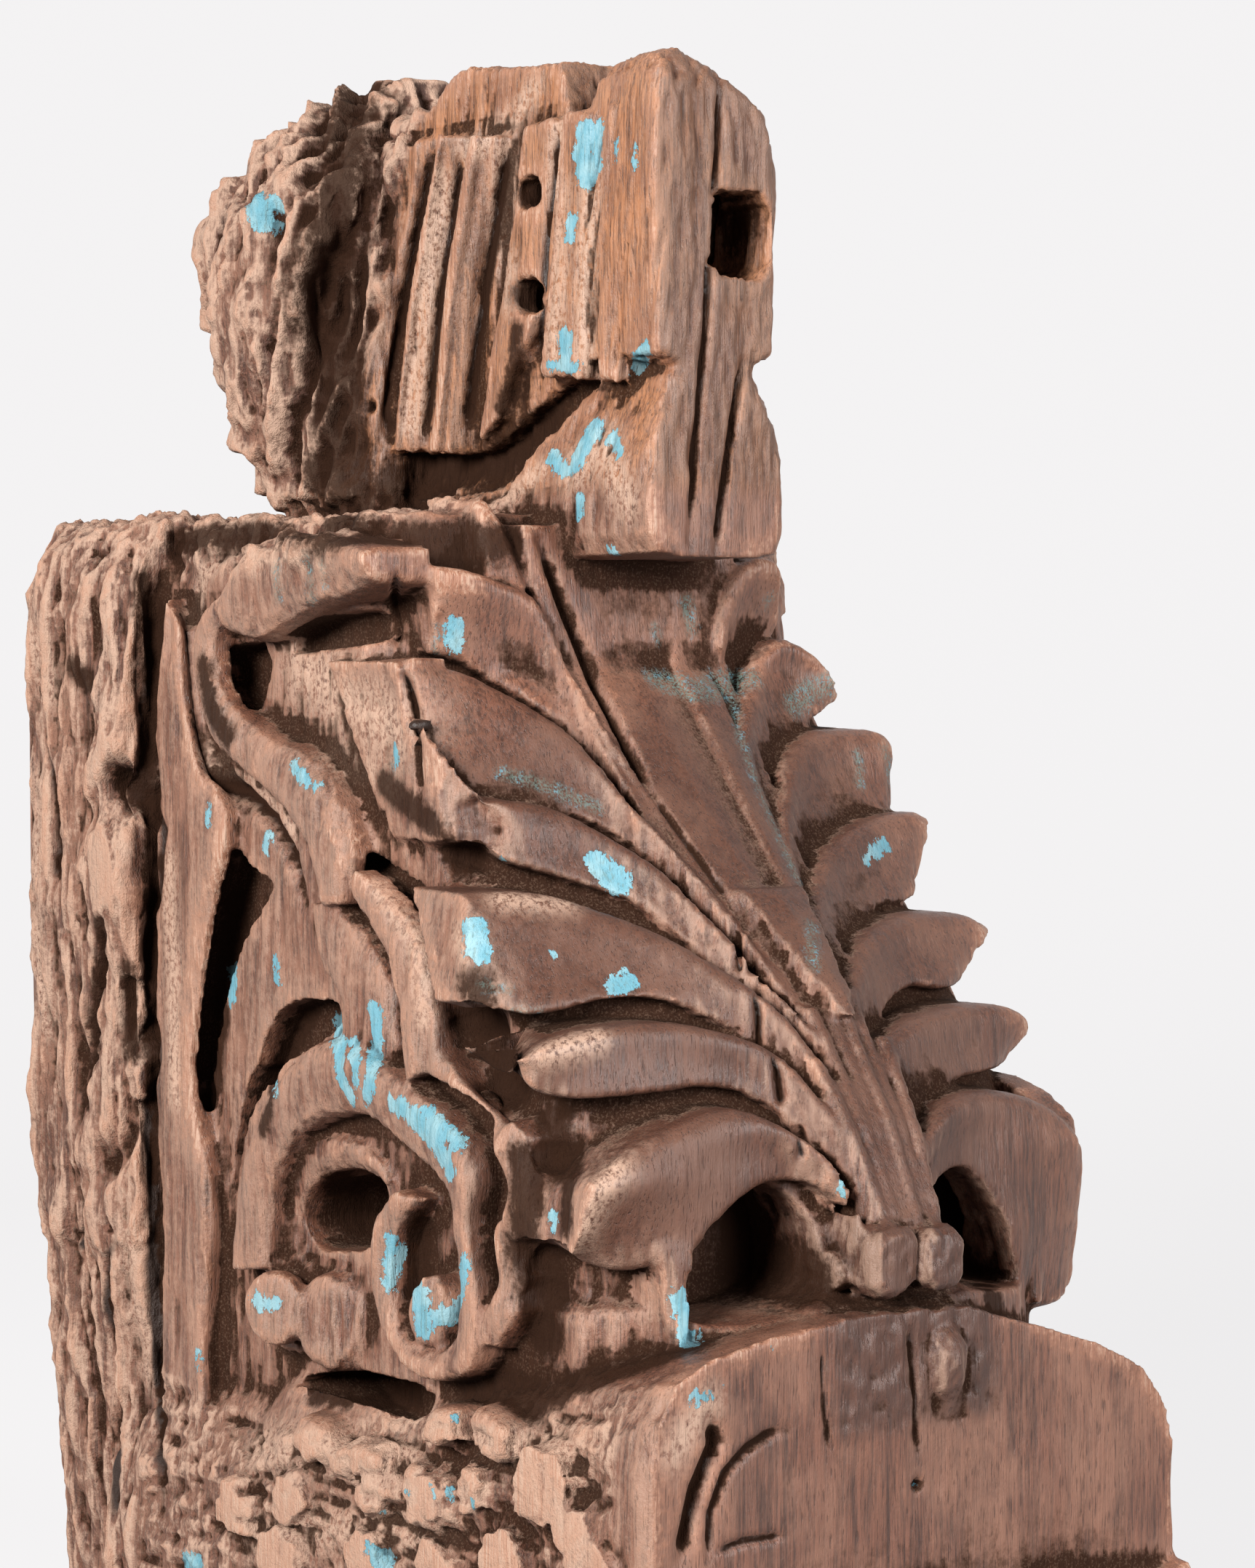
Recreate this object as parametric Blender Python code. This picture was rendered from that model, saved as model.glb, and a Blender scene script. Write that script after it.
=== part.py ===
"""Carved wooden corbel: one weathered block with a post at the back, a palmette, side scrolls and a top block.

The wall face is the plane y = 0, the corbel reaches towards -Y, and +Z is up. The origin is the middle of the
flat wall face at half the height of the post.
"""
import math

import bmesh
import bpy
import numpy as np
from mathutils import Matrix, Vector

NAME = "corbel"

# Overall sizes in metres
WIDTH = 0.180
REACH = 0.318
HEIGHT = 0.472

# Sizes of the cut details in metres
NAIL_HOLE = 0.0115
NAIL_HOLE_DEPTH = 0.018
MORTISE_WIDTH = 0.021
MORTISE_HEIGHT = 0.024
MORTISE_DEPTH = 0.030

# The carving is drawn in millimetres of a corbel with these overall sizes, x across, s out from the wall, z up
DRAWN_WIDTH = 180.0
DRAWN_REACH = 318.0
DRAWN_HEIGHT = 472.0

# Levels of the body
BOTTOM_Z = -172.0
BODY_TOP_Z = 172.0
LEDGE_Z = -31.0

# Half widths
POST_HALF = 90.0
PANEL_HALF = 74.0
BLOCK_HALF = 88.0

# Distances from the wall
POST_S = 62.0
CORE_BACK_S = 30.0
BLOCK_FRONT_S = 311.0
TIER_FRONT_S = 318.0
TOP_FRONT_S = 227.0

# How far the lobes stand over the ground behind them
GROUND_DROP = 13.0
LOBE_SLOPE = 7.0
RELIEF = 8.0

# Front of the palmette on its axis (z, s), and how far it falls away towards the sides
AXIS_PROFILE = ((LEDGE_Z, BLOCK_FRONT_S), (-17, 309), (14, 295), (46, 273), (72, 245), (97, 222), (128, 196), (170, 190))
SIDE_FALL = ((LEDGE_Z, 28), (-17, 24), (3, 13), (50, 12), (80, 7), (105, 3), (130, 0))

WOOD_COLOUR = (0.235, 0.115, 0.072, 1.0)
WOOD_ROUGHNESS = 0.72


def point(x, s, z):
    """Place a drawn point in metres."""
    return Vector((x * WIDTH / DRAWN_WIDTH, -s * REACH / DRAWN_REACH, z * HEIGHT / DRAWN_HEIGHT))


def clear_scene():
    for old in list(bpy.data.objects):
        bpy.data.objects.remove(old)


def wood():
    material = bpy.data.materials.new("weathered_wood")
    material.use_nodes = True
    shader = material.node_tree.nodes["Principled BSDF"]
    shader.inputs["Base Color"].default_value = WOOD_COLOUR
    shader.inputs["Roughness"].default_value = WOOD_ROUGHNESS
    shader.inputs["Metallic"].default_value = 0.0
    return material


def read(table, at):
    """Value of a (place, value) table at a place."""
    places, values = zip(*table)
    return float(np.interp(at, places, values))


def front(x, z):
    """Distance of the palmette's outer surface from the wall."""
    return read(AXIS_PROFILE, z) - read(SIDE_FALL, z) * (x / 75.0) ** 2


def smooth(points, steps):
    """Points along a smooth curve through the given points, of any dimension."""
    nodes = [np.array(p, float) for p in points]
    nodes = [2 * nodes[0] - nodes[1]] + nodes + [2 * nodes[-1] - nodes[-2]]
    out = []
    for a, b, c, d in zip(nodes, nodes[1:], nodes[2:], nodes[3:]):
        for k in range(steps):
            t = k / steps
            out.append(0.5 * (2 * b + (c - a) * t + (2 * a - 5 * b + 4 * c - d) * t ** 2
                              + (3 * b - a - 3 * c + d) * t ** 3))
    return out + [nodes[-2]]


def bezier(controls, count):
    """Points along a cubic curve, from its first control point to its last."""
    a, b, c, d = (np.array(p, float) for p in controls)
    out = []
    for k in range(count + 1):
        t = k / count
        out.append(a * (1 - t) ** 3 + 3 * b * t * (1 - t) ** 2 + 3 * c * t ** 2 * (1 - t) + d * t ** 3)
    return out


def mesh_object(name, bm, collection):
    """Make an object of a closed mesh, with its faces pointing out."""
    bmesh.ops.recalc_face_normals(bm, faces=bm.faces)
    bmesh.ops.triangulate(bm, faces=bm.faces)
    mesh = bpy.data.meshes.new(name)
    bm.to_mesh(mesh)
    bm.free()
    made = bpy.data.objects.new(name, mesh)
    collection.objects.link(made)
    return made


def loft(name, rings, collection):
    """Closed solid through rings of drawn (x, s, z) points, all with as many points."""
    bm = bmesh.new()
    loops = [[bm.verts.new(point(*p)) for p in ring] for ring in rings]
    for low, high in zip(loops, loops[1:]):
        for i, vert in enumerate(low):
            j = (i + 1) % len(low)
            bm.faces.new((vert, low[j], high[j], high[i]))
    bm.faces.new(loops[0][::-1])
    bm.faces.new(loops[-1])
    return mesh_object(name, bm, collection)


def block(name, low, high, collection, turn=0.0):
    """Box between two drawn corners, turned about its middle in the side view."""
    bm = bmesh.new()
    bmesh.ops.create_cube(bm, size=1.0)
    a, b = point(*low), point(*high)
    size = Matrix.Diagonal((abs(b.x - a.x), abs(b.y - a.y), abs(b.z - a.z), 1.0))
    place = Matrix.Translation((a + b) / 2) @ Matrix.Rotation(turn, 4, "X") @ size
    bmesh.ops.transform(bm, matrix=place, verts=bm.verts)
    return mesh_object(name, bm, collection)


def roll(name, start, end, radius, collection, sides=14):
    """Round bar between two drawn points."""
    a, b = point(*start), point(*end)
    bm = bmesh.new()
    bmesh.ops.create_cone(bm, cap_ends=True, segments=sides, radius1=radius * 0.001, radius2=radius * 0.001,
                          depth=(b - a).length)
    turn = (b - a).to_track_quat("Z", "Y").to_matrix().to_4x4()
    bmesh.ops.transform(bm, matrix=Matrix.Translation((a + b) / 2) @ turn, verts=bm.verts)
    return mesh_object(name, bm, collection)


def pebble(name, centre, radii, collection, subdivisions=2):
    """Rounded lump with its own radius along each axis."""
    bm = bmesh.new()
    bmesh.ops.create_icosphere(bm, subdivisions=subdivisions, radius=0.001)
    bmesh.ops.transform(bm, matrix=Matrix.Translation(point(*centre)) @ Matrix.Diagonal((*radii, 1.0)),
                        verts=bm.verts)
    return mesh_object(name, bm, collection)


def ribbon(name, side, path, width, collection, height=RELIEF, foot=PANEL_HALF - 6.0, steps=2, bevel=0.3):
    """Carved band that follows a (s, z) path over one side panel. Width is one number or one for each point."""
    widths = width if isinstance(width, (tuple, list)) else [width] * len(path)
    line = smooth([(*p, w) for p, w in zip(path, widths)], steps)
    top = PANEL_HALF + height
    rings = []
    for k, (s, z, w) in enumerate(line):
        ahead, behind = line[min(k + 1, len(line) - 1)], line[max(k - 1, 0)]
        along = np.array((ahead[0] - behind[0], ahead[1] - behind[1]))
        across = np.array((-along[1], along[0])) / np.linalg.norm(along)
        profile = ((-0.5, foot), (-0.5, top - bevel * w * 0.5), (-0.5 + bevel, top), (0.5 - bevel, top),
                   (0.5, top - bevel * w * 0.5), (0.5, foot))
        rings.append([(side * x, s + across[0] * w * t, z + across[1] * w * t) for t, x in profile])
    return loft(name, rings, collection)


def post(collection):
    """Weathered upright at the wall, worn thin at the lower corner of its left side."""
    rings = []
    levels = 16
    for k in range(levels + 1):
        z = BOTTOM_Z + (BODY_TOP_Z - BOTTOM_Z) * k / levels
        wear = 2.2 * math.sin(k * 1.9) + 1.6 * math.sin(k * 0.83 + 1.0)
        rot = 15.0 * min(1.0, max(0.0, (-30.0 - z) / 110.0))
        crown = 8.0 * max(0.0, (z - 150.0) / 22.0) ** 2
        left = POST_HALF - 1.2 - crown + 0.5 * min(wear, 2.4)
        right = POST_HALF - 2.5 - crown - 0.5 * wear
        front_s = POST_S + 0.5 * wear
        rings.append([(-left + 4 + rot, 0, z), (-left + 0.25 * rot, 5 + rot, z), (-left, 24, z),
                      (-left + 3 + 0.5 * wear, 40, z), (-left + 1, 54, z), (-left + 4, front_s, z),
                      (0, front_s, z), (right - 4, front_s, z), (right - 1, 52, z), (right - 3, 38, z),
                      (right, 20, z), (right - 1, 6, z), (right - 5, 0, z)])
    return loft("post", rings, collection)


def core(collection):
    """Ground of the carving: the side panels and the surface behind the lobes."""
    rings = []
    for z in (BOTTOM_Z, -90, -45, -20, 0, 15, 30, 46, 60, 72, 85, 97, 112, 128, 142, 154, 163, 169):
        edge = PANEL_HALF - 6.0 * max(0.0, (z - 154) / 15)
        ring = [(edge, CORE_BACK_S, z)]
        for k in range(9):
            x = edge * (1 - 2 * k / 8)
            corner = 10.0 * (abs(x) / edge) ** 8
            sink = 6.0 if z < -30 else GROUND_DROP
            ring.append((x, front(x, z) - sink - corner, z))
        ring.append((-edge, CORE_BACK_S, z))
        rings.append(ring)
    return loft("core", rings, collection)


def lower_block(collection):
    """Block under the palmette, with a ledge on top that falls towards the wall."""
    rings = []
    for inward, fall in ((263, 52), (189, 47), (171, 32), (110, 32), (58, 14), (11, 2), (5, 0), (0, -1)):
        s = BLOCK_FRONT_S - inward
        edge = BLOCK_HALF - (1.5 if inward > 11 else 0.0) - (1.2 if inward < 3 else 0.0)
        top = [(1.0, -80), (0.965, -67), (0.87, -56), (0.68, -47), (0.45, -40), (0.16, -32), (0.0, LEDGE_Z)]
        half = [(edge * share, z - fall * share ** 2) for share, z in top]
        near = [(-edge * share, z - fall * share ** 2) for share, z in
                ((0.3, LEDGE_Z), (0.55, -33), (0.8, -37.5), (0.91, -42), (0.98, -52), (1.0, -66))]
        outline = [(edge, BOTTOM_Z)] + half + near + [(-edge, BOTTOM_Z)]
        rings.append([(x, s, z) for x, z in outline])
    return loft("lower_block", rings, collection)


def lower_tier(collection):
    """Second tier of the block, a little proud of it, with a scalloped upper edge."""
    rings = []
    for s, drop in ((BLOCK_FRONT_S - 15, 0.0), (TIER_FRONT_S - 4, 0.0), (TIER_FRONT_S, 3.0)):
        outline = [(BLOCK_HALF, BOTTOM_Z)]
        for k in range(17):
            share = 1 - 2 * k / 16
            outline.append((share * (BLOCK_HALF - 0.3), -103 - drop - 3.5 * abs(math.sin(k * math.pi / 4))
                            - 3.0 * share))
        outline.append((-BLOCK_HALF, BOTTOM_Z))
        rings.append([(x, s, z) for x, z in outline])
    return loft("lower_tier", rings, collection)


# Lobes of the palmette: name, the curve of the upper arris (root, two handles, tip), the drop from the upper to
# the lower edge at the tip and midway, and the depth of the end face, all in (x, z) of the front view
LEFT_LOBES = (
    ("a", ((-20, 95), (-22, 146), (-42, 152), (-63, 151)), (0, -20), (-5, -22), 42),
    ("b", ((-17, 78), (-22, 96), (-52, 122), (-77, 129)), (2, -16), (-7, -20), 30),
    ("c", ((-9, 34), (-24, 94), (-66, 86), (-78, 116)), (0, -25), (-3, -17), 34),
    ("d", ((-7, 4), (-20, 76), (-46, 76), (-78, 71)), (-1, -25), (0, -21), 31),
    ("e", ((-6, -8), (-15, 44), (-50, 50), (-77, 38)), (3, -12), (0, -14), 28),
    ("f", ((-5, -14), (-13, 34), (-80, 38), (-79, -19)), (16, -1), (0, -17), 34),
)
RIGHT_LOBES = (
    ("r0", ((24, 126), (25, 148), (38, 156), (50, 151)), (-2, -18), (3, -16), 16),
    ("r1", ((21, 88), (23, 122), (46, 134), (70, 129)), (0, -18), (4, -17), 24),
    ("r2", ((18, 68), (21, 98), (46, 112), (76, 104)), (1, -16), (3, -15), 24),
    ("r3", ((14, 50), (18, 80), (48, 92), (76, 83)), (0, -20), (3, -17), 24),
    ("r4", ((7, 4), (17, 66), (46, 66), (79, 56)), (-4, -17), (0, -17), 24),
    ("r5", ((6, -8), (14, 42), (42, 46), (78, 32)), (-2, -17), (0, -15), 26),
    ("r6", ((5, -14), (13, 34), (81, 36), (80, -19)), (-15, -3), (0, -17), 34),
)
STEM_DROP = (3.2, -2.5)
LOBE_STEPS = 8


def lobe(name, arris, tip_drop, mid_drop, depth, collection):
    """Lobe under a cubic arris, with a face that falls back to its lower edge."""
    rings = []
    stem_drop = np.array(STEM_DROP) * (math.copysign(1.0, arris[-1][0]), 1.0)
    for k, top in enumerate(bezier(arris, LOBE_STEPS)):
        t = k / LOBE_STEPS
        weights = ((1 - t) ** 2, 4 * t * (1 - t), t ** 2)
        drop = sum(w * np.array(d) for w, d in zip(weights, (stem_drop, mid_drop, tip_drop))) / sum(weights)
        low = top + drop
        back = 22.0 + (depth - 22.0) * t ** 3
        slope = LOBE_SLOPE * min(1.0, np.hypot(*drop) / 12.0)
        ring = []
        for share, sink in ((0.0, 2.0), (0.06, 0.0), (0.35, 0.45 * slope), (0.7, 0.75 * slope), (1.0, slope)):
            x, z = top + (low - top) * share
            ring.append((x, front(x, z) - sink, z))
        for x, z in (low, top):
            ring.append((x * 0.97, front(x, z) - back, z))
        rings.append(ring)
    return loft(name, rings, collection)


def centre_lobe(collection):
    """Upright leaf in the middle, creased on its axis, pointed below."""
    rings = []
    for z, half in ((40, 3.0), (52, 8.0), (70, 14.0), (96, 19.5), (125, 22.5), (133, 24), (146, 27), (158, 30)):
        swell = 4.0 if z < 128 else -2.0
        ring = [(half, front(0, z) - 30, z)]
        for share in (1.0, 0.86, 0.45, 0.0, -0.45, -0.86, -1.0):
            rim = 3.0 if abs(share) > 0.9 else (0.0 if abs(share) > 0.8 else 1.6)
            ring.append((half * share, front(half * share, z) + swell - rim, z))
        ring.append((-half, front(0, z) - 30, z))
        rings.append(ring)
    return loft("centre_lobe", rings, collection)


def centre_tip(collection):
    """Small cut tip nested in the lower end of the middle leaf."""
    rings = []
    for z, half in ((44, 3.5), (58, 7.5), (70, 11.0)):
        s = front(0, z)
        rings.append([(half, s - 12, z), (half, s + 4, z), (0, s + 7, z), (-half, s + 4, z), (-half, s - 12, z)])
    return loft("centre_tip", rings, collection)


def knot(collection):
    """Band that ties the stems, and the drop that hangs below it."""
    s = BLOCK_FRONT_S
    band = block("knot_left", (-18, s - 11, -29), (-4, s + 2, -9), collection)
    other = block("knot_right", (-3, s - 9, -27), (9, s + 4, -11), collection)
    drop = pebble("knot_drop", (6, s - 2, -45), (5.6, 6.5, 9.5), collection)
    stems = loft("stems", [[(-half, front(0, z) - 14, z), (half, front(0, z) - 14, z),
                            (half, front(0, z) - 1, z), (0, front(0, z) + 1.5, z), (-half, front(0, z) - 1, z)]
                           for z, half in ((-24, 9), (-4, 7), (16, 5), (46, 3.5))], collection)
    return [band, other, drop, stems]


def leg(side, collection):
    """Thin front of the wall between a hollow and the side panel."""
    rings = [[(side * (x - half), s - 22, z), (side * (x + half), s - 22, z), (side * (x + half), s - 1.5, z),
              (side * (x - half), s, z)]
             for z, x, half, s in ((LEDGE_Z - 10, 61.5, 3.0, 292), (-22, 63, 4.5, 292), (-8, 63, 7.0, 291))]
    return loft("leg_" + ("left" if side < 0 else "right"), rings, collection)


def side_carving(side, collection):
    """Bands, leaf, arch, scroll and boss over one side panel."""
    tag = "left" if side < 0 else "right"

    def band(name, path, width, **more):
        return ribbon(f"{name}_{tag}", side, path, width, collection, **more)

    roll_height = 11.0 if side < 0 else 5.0
    made = [
        band("top_roll", ((160, 155), (146, 157), (124, 156), (108, 152)), (14, 20, 20, 12), height=roll_height),
        band("s_band", ((112, 147), (93, 141), (86, 130), (92, 117), (111, 109), (132, 103), (149, 95), (159, 84),
                        (160, 66)), (6, 7, 7, 8, 9, 9, 9, 9, 8), height=10.0, steps=3 if side < 0 else 2),
        band("leaf", ((99, 104), (110, 96), (121, 84), (129, 68), (114, 44), (104, 12), (101, -28)),
             (5, 12, 15, 9, 8, 8, 7), height=5.0),
        band("stile", ((84, 108), (84, 70), (81, 30), (81, -10), (80, -60), (80, -120)), (22, 26, 20, 20, 21, 20),
             height=7.0, bevel=0.18, steps=1),
        band("second_band", ((166, 76), (180, 70), (192, 59), (200, 44), (201, 26)), (6, 9, 9, 9, 6), height=10.0),
        band("crown_leaf", ((168, 64), (160, 48), (152, 34), (140, 18)), (14, 26, 30, 22), height=5.5, bevel=0.2),
        band("inner_arch", ((129, -34), (133, -12), (152, 2), (177, 0), (190, -11)), (7, 8, 8, 7, 6), height=3.0),
        band("outer_band", ((203, 24), (223, 18), (241, 8), (251, -4), (248, -15), (245, -25), (246, -36), (238, -48)),
             (8, 9, 9, 10, 9, 8, 8, 5), height=9.0),
        band("dome", ((240, 6), (254, 7), (270, 6), (281, 3)), (14, 22, 18, 10), height=5.0),
    ]
    scroll = [(115, -38), (119, -18), (132, 3), (156, 16), (182, 12), (205, 6)]
    widths = [9, 10, 11, 12, 12, 12]
    for k in range(15):
        turn = math.radians(62 - 30 * k)
        size = 25.5 - 0.95 * k
        scroll.append((210 + size * math.cos(turn), -31 + size * 1.06 * math.sin(turn)))
        widths.append(11.0 - 0.3 * k)
    made.append(band("arch_scroll", scroll, widths, height=11.0, steps=2 if side < 0 else 1))
    made.append(pebble(f"scroll_eye_{tag}", (side * (PANEL_HALF + 3), 210, -33), (7, 7, 8), collection, 1))
    made.append(roll(f"boss_{tag}", (side * 60, 150, -49), (side * 84, 128, -49), 9.5, collection))
    made.append(roll(f"boss_roll_{tag}", (side * 58, 160, -46), (side * 79, 146, -46), 15.5, collection))
    beads = ((266, -72, (9, 15, 10)), (212, -87, (8, 11, 9)), (229, -67, (9, 17, 8)), (160, -98, (8, 18, 12)),
             (120, -110, (8, 15, 14)), (196, -112, (8, 16, 9)))
    for k, (s, z, size) in enumerate(beads if side < 0 else beads[3:]):
        made.append(pebble(f"bead_{k}_{tag}", (side * (BLOCK_HALF - 5), s, z), size, collection, 1))
    return made


# Half width of the front part of the top block at each height
TOP_PROFILE = ((158, 16), (159, 21), (164, 23), (173, 23.5), (184, 22.5), (194, 19.5), (204, 14), (210, 12.5),
               (213, 19), (236, 20), (262, 20), (278, 19.5), (286, 17), (291, 11))


def top_block(collection):
    """Narrow block over the body: moulded front, slanted flutes behind it and a rotted lump at the back."""
    rings = []
    for z, half in TOP_PROFILE:
        back = read(((158, 136), (169, 139), (209, 172), (213, 140), (291, 161)), z)
        lean = 3.0 * max(0.0, (z - 278) / 12)
        rings.append([(-half, back, z), (-half, TOP_FRONT_S - 3 - lean, z), (-half + 2.5, TOP_FRONT_S - lean, z),
                      (half - 2.5, TOP_FRONT_S - lean, z), (half, TOP_FRONT_S - 3 - lean, z), (half, back, z)])
    made = [loft("top_front", rings, collection)]
    made.append(block("top_middle", (-16, 60, 190), (16, 176, 289), collection))
    for side in (-1, 1):
        tag = "left" if side < 0 else "right"
        for k, (low_s, high_s, half) in enumerate(((91, 110, 5.5), (104.5, 128, 7.0), (121.5, 146, 7.5))):
            ridge = [[(side * 6, s - half, z), (side * 18, s - half, z), (side * 21.5, s - 0.3 * half, z),
                      (side * 19.5, s + half, z), (side * 6, s + half, z)]
                     for z, s in ((196.0 - 2 * k, low_s), (286.0 - 3 * k, high_s))]
            made.append(loft(f"flute_{k}_{tag}", ridge, collection))
        plane = [[(side * 8, near, z), (side * half, near, z), (side * half, TOP_FRONT_S - 4, z),
                  (side * 8, TOP_FRONT_S - 4, z)] for z, near, half in ((213.5, 177, 22), (282, 197, 22))]
        made.append(loft("raised_plane_" + tag, plane, collection))
    return made


def neck(collection):
    """Wood that carries the top block on the body."""
    rings = []
    for z, half, near, far in ((150, 50, 36, 186), (167, 48, 40, 184), (176, 30, 56, 174), (196, 16, 74, 160)):
        rings.append([(half, near, z), (half * 0.9, far - 12, z), (half * 0.5, far, z), (-half * 0.5, far, z),
                      (-half * 0.9, far - 12, z), (-half, near, z)])
    return loft("neck", rings, collection)


def lump(collection):
    """Rotted back end of the top block."""
    rings = []
    sides = 18
    for k, (z, mid, deep, half) in enumerate(((166, 80, 24, 26), (180, 75, 33, 32), (196, 68, 40, 39),
                                              (214, 64, 45, 43), (234, 61, 48, 45), (254, 61, 48, 45),
                                              (272, 65, 45, 42), (286, 70, 41, 36), (294, 80, 33, 28),
                                              (300, 92, 20, 14))):
        ring = []
        for j in range(sides):
            turn = 2 * math.pi * j / sides
            rough = 1.0 + 0.05 * math.sin(5 * turn + 1.3 * k) + 0.035 * math.sin(9 * turn + 0.9 * k)
            side = math.copysign(abs(math.cos(turn)) ** 0.75, math.cos(turn))
            out = math.copysign(abs(math.sin(turn)) ** 0.75, math.sin(turn))
            ring.append((half * rough * side, mid + deep * rough * out, z + 1.8 * math.sin(3 * turn + k)))
        rings.append(ring)
    return loft("lump", rings, collection)


def square_hole(name, centre, along, size, depth, collection):
    """Cutter for a square hole whose mouth is at a point of the surface, sunk along a direction."""
    bm = bmesh.new()
    bmesh.ops.create_cube(bm, size=1.0)
    spare = 0.006
    into = Vector(along).normalized()
    turn = into.to_track_quat("Z", "Y").to_matrix().to_4x4()
    middle = point(*centre) + into * (depth - spare) / 2
    place = Matrix.Translation(middle) @ turn @ Matrix.Diagonal((size[0], size[1], depth + spare, 1.0))
    bmesh.ops.transform(bm, matrix=place, verts=bm.verts)
    return mesh_object(name, bm, collection)


def cutters(collection):
    """Hollows, holes and grooves that are cut out of the joined wood."""
    made = []
    for side in (-1, 1):
        tag = "left" if side < 0 else "right"
        arch = [(19, LEDGE_Z + 1), (58, LEDGE_Z - 3), (59, -20), (54, -9), (45, -2), (33, 1), (24, -3), (19, -12)]
        if side < 0:
            arch = [(x + 1, z) for x, z in arch]
        made.append(loft("hollow_" + tag, [[(side * x * spread, s, z) for x, z in arch]
                                           for s, spread in ((262, 0.97), (330, 1.0))], collection))
        deep = [(137, -10), (146, -3), (160, 0), (174, -3), (180, -12), (179, -26), (150, -30), (139, -27)]
        made.append(loft("eye_" + tag, [[(side * x, s, z) for s, z in deep] for x in (50, 110)], collection))
        slot = [(146, -63), (160, -58), (190, -56), (204, -61), (198, -70), (170, -74), (150, -73)]
        made.append(loft("slot_" + tag, [[(side * x, s, z) for s, z in slot] for x in (56, 110)], collection))
        slit = [(119, 66), (124, 66), (109, 42), (99, 12), (98, -16), (94, -16), (95, 8), (104, 41)]
        made.append(loft("slit_" + tag, [[(side * x, s, z) for s, z in slit] for x in (66, 110)], collection))
    for name, s, z, size in (("nail_a", 168, 259, 0.92), ("nail_b", 167, 231, 1.0)):
        made.append(square_hole(name, (-20, s, z), (1, 0, 0), (NAIL_HOLE * size, NAIL_HOLE * 0.9 * size),
                                NAIL_HOLE_DEPTH, collection))
    made.append(square_hole("mortise", (7, TOP_FRONT_S, 244), (0, 1, 0), (MORTISE_WIDTH, MORTISE_HEIGHT),
                            MORTISE_DEPTH, collection))
    made.append(block("shoulder_cut", (-60, 176.5, 168), (-15, 120, 208), collection, math.radians(-38)))
    made.append(pebble("knot_hole", (-90, 44, 94), (10, 6, 8), collection))
    made.append(loft("post_slot", [[(-94, 33, z), (-78, 31, z), (-78, 35, z), (-94, 37, z)] for z in (30, 76)],
                     collection))
    s = BLOCK_FRONT_S
    groove = ((-27, s - 3), (-24, s - 3), (-24, s + 19), (-27, s + 19))
    made.append(loft("front_groove", [[(x, s, z) for x, s in groove] for z in (-150, -48)],
                     collection))
    return made


def union(parts, collection):
    """Join every solid into one mesh with one exact Boolean, then cut the hollows."""
    base = parts[0]
    others = bpy.data.collections.new("joined_wood")
    bpy.context.scene.collection.children.link(others)
    for part in parts[1:]:
        collection.objects.unlink(part)
        others.objects.link(part)
    join = base.modifiers.new("join", "BOOLEAN")
    join.operation = "UNION"
    join.solver = "EXACT"
    join.operand_type = "COLLECTION"
    join.collection = others
    return base, others


def cut(target, cutter_collection):
    take = target.modifiers.new("cut", "BOOLEAN")
    take.operation = "DIFFERENCE"
    take.solver = "EXACT"
    take.operand_type = "COLLECTION"
    take.collection = cutter_collection


def apply_modifiers(target):
    """Bake the modifiers, so that the joined sources can be removed."""
    depsgraph = bpy.context.evaluated_depsgraph_get()
    mesh = bpy.data.meshes.new_from_object(target.evaluated_get(depsgraph))
    target.modifiers.clear()
    target.data = mesh


def main():
    clear_scene()
    scene = bpy.context.scene.collection
    wood_collection = bpy.data.collections.new(NAME)
    cutter_collection = bpy.data.collections.new("cutters")
    scene.children.link(wood_collection)
    scene.children.link(cutter_collection)

    parts = [core(wood_collection), post(wood_collection), lower_block(wood_collection), lower_tier(wood_collection)]
    for row in LEFT_LOBES + RIGHT_LOBES:
        parts.append(lobe("lobe_" + row[0], *row[1:], wood_collection))
    parts += [centre_lobe(wood_collection), centre_tip(wood_collection)]
    parts += knot(wood_collection) + [leg(-1, wood_collection), leg(1, wood_collection)]
    parts += side_carving(-1, wood_collection) + side_carving(1, wood_collection)
    parts += top_block(wood_collection) + [neck(wood_collection), lump(wood_collection)]

    for cutter in cutters(cutter_collection):
        cutter.hide_render = True
        cutter.display_type = "WIRE"

    corbel, sources = union(parts, wood_collection)
    cut(corbel, cutter_collection)
    apply_modifiers(corbel)
    for source in list(sources.objects):
        bpy.data.objects.remove(source)
    bpy.data.collections.remove(sources)
    corbel.name = NAME
    corbel.data.name = NAME
    corbel.data.materials.clear()
    corbel.data.materials.append(wood())


main()
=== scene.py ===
"""Looks of the carved wooden corbel: finer carving, rot, cracks, grain and flaked paint on one body of wood.

The carving is built in millimetres as x across, s out from the wall and z up, then joined by a voxel remesh,
carved along strokes that are placed by points read from the photograph, roughened by region, and split into
pieces along its natural grooves.
"""

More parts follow.
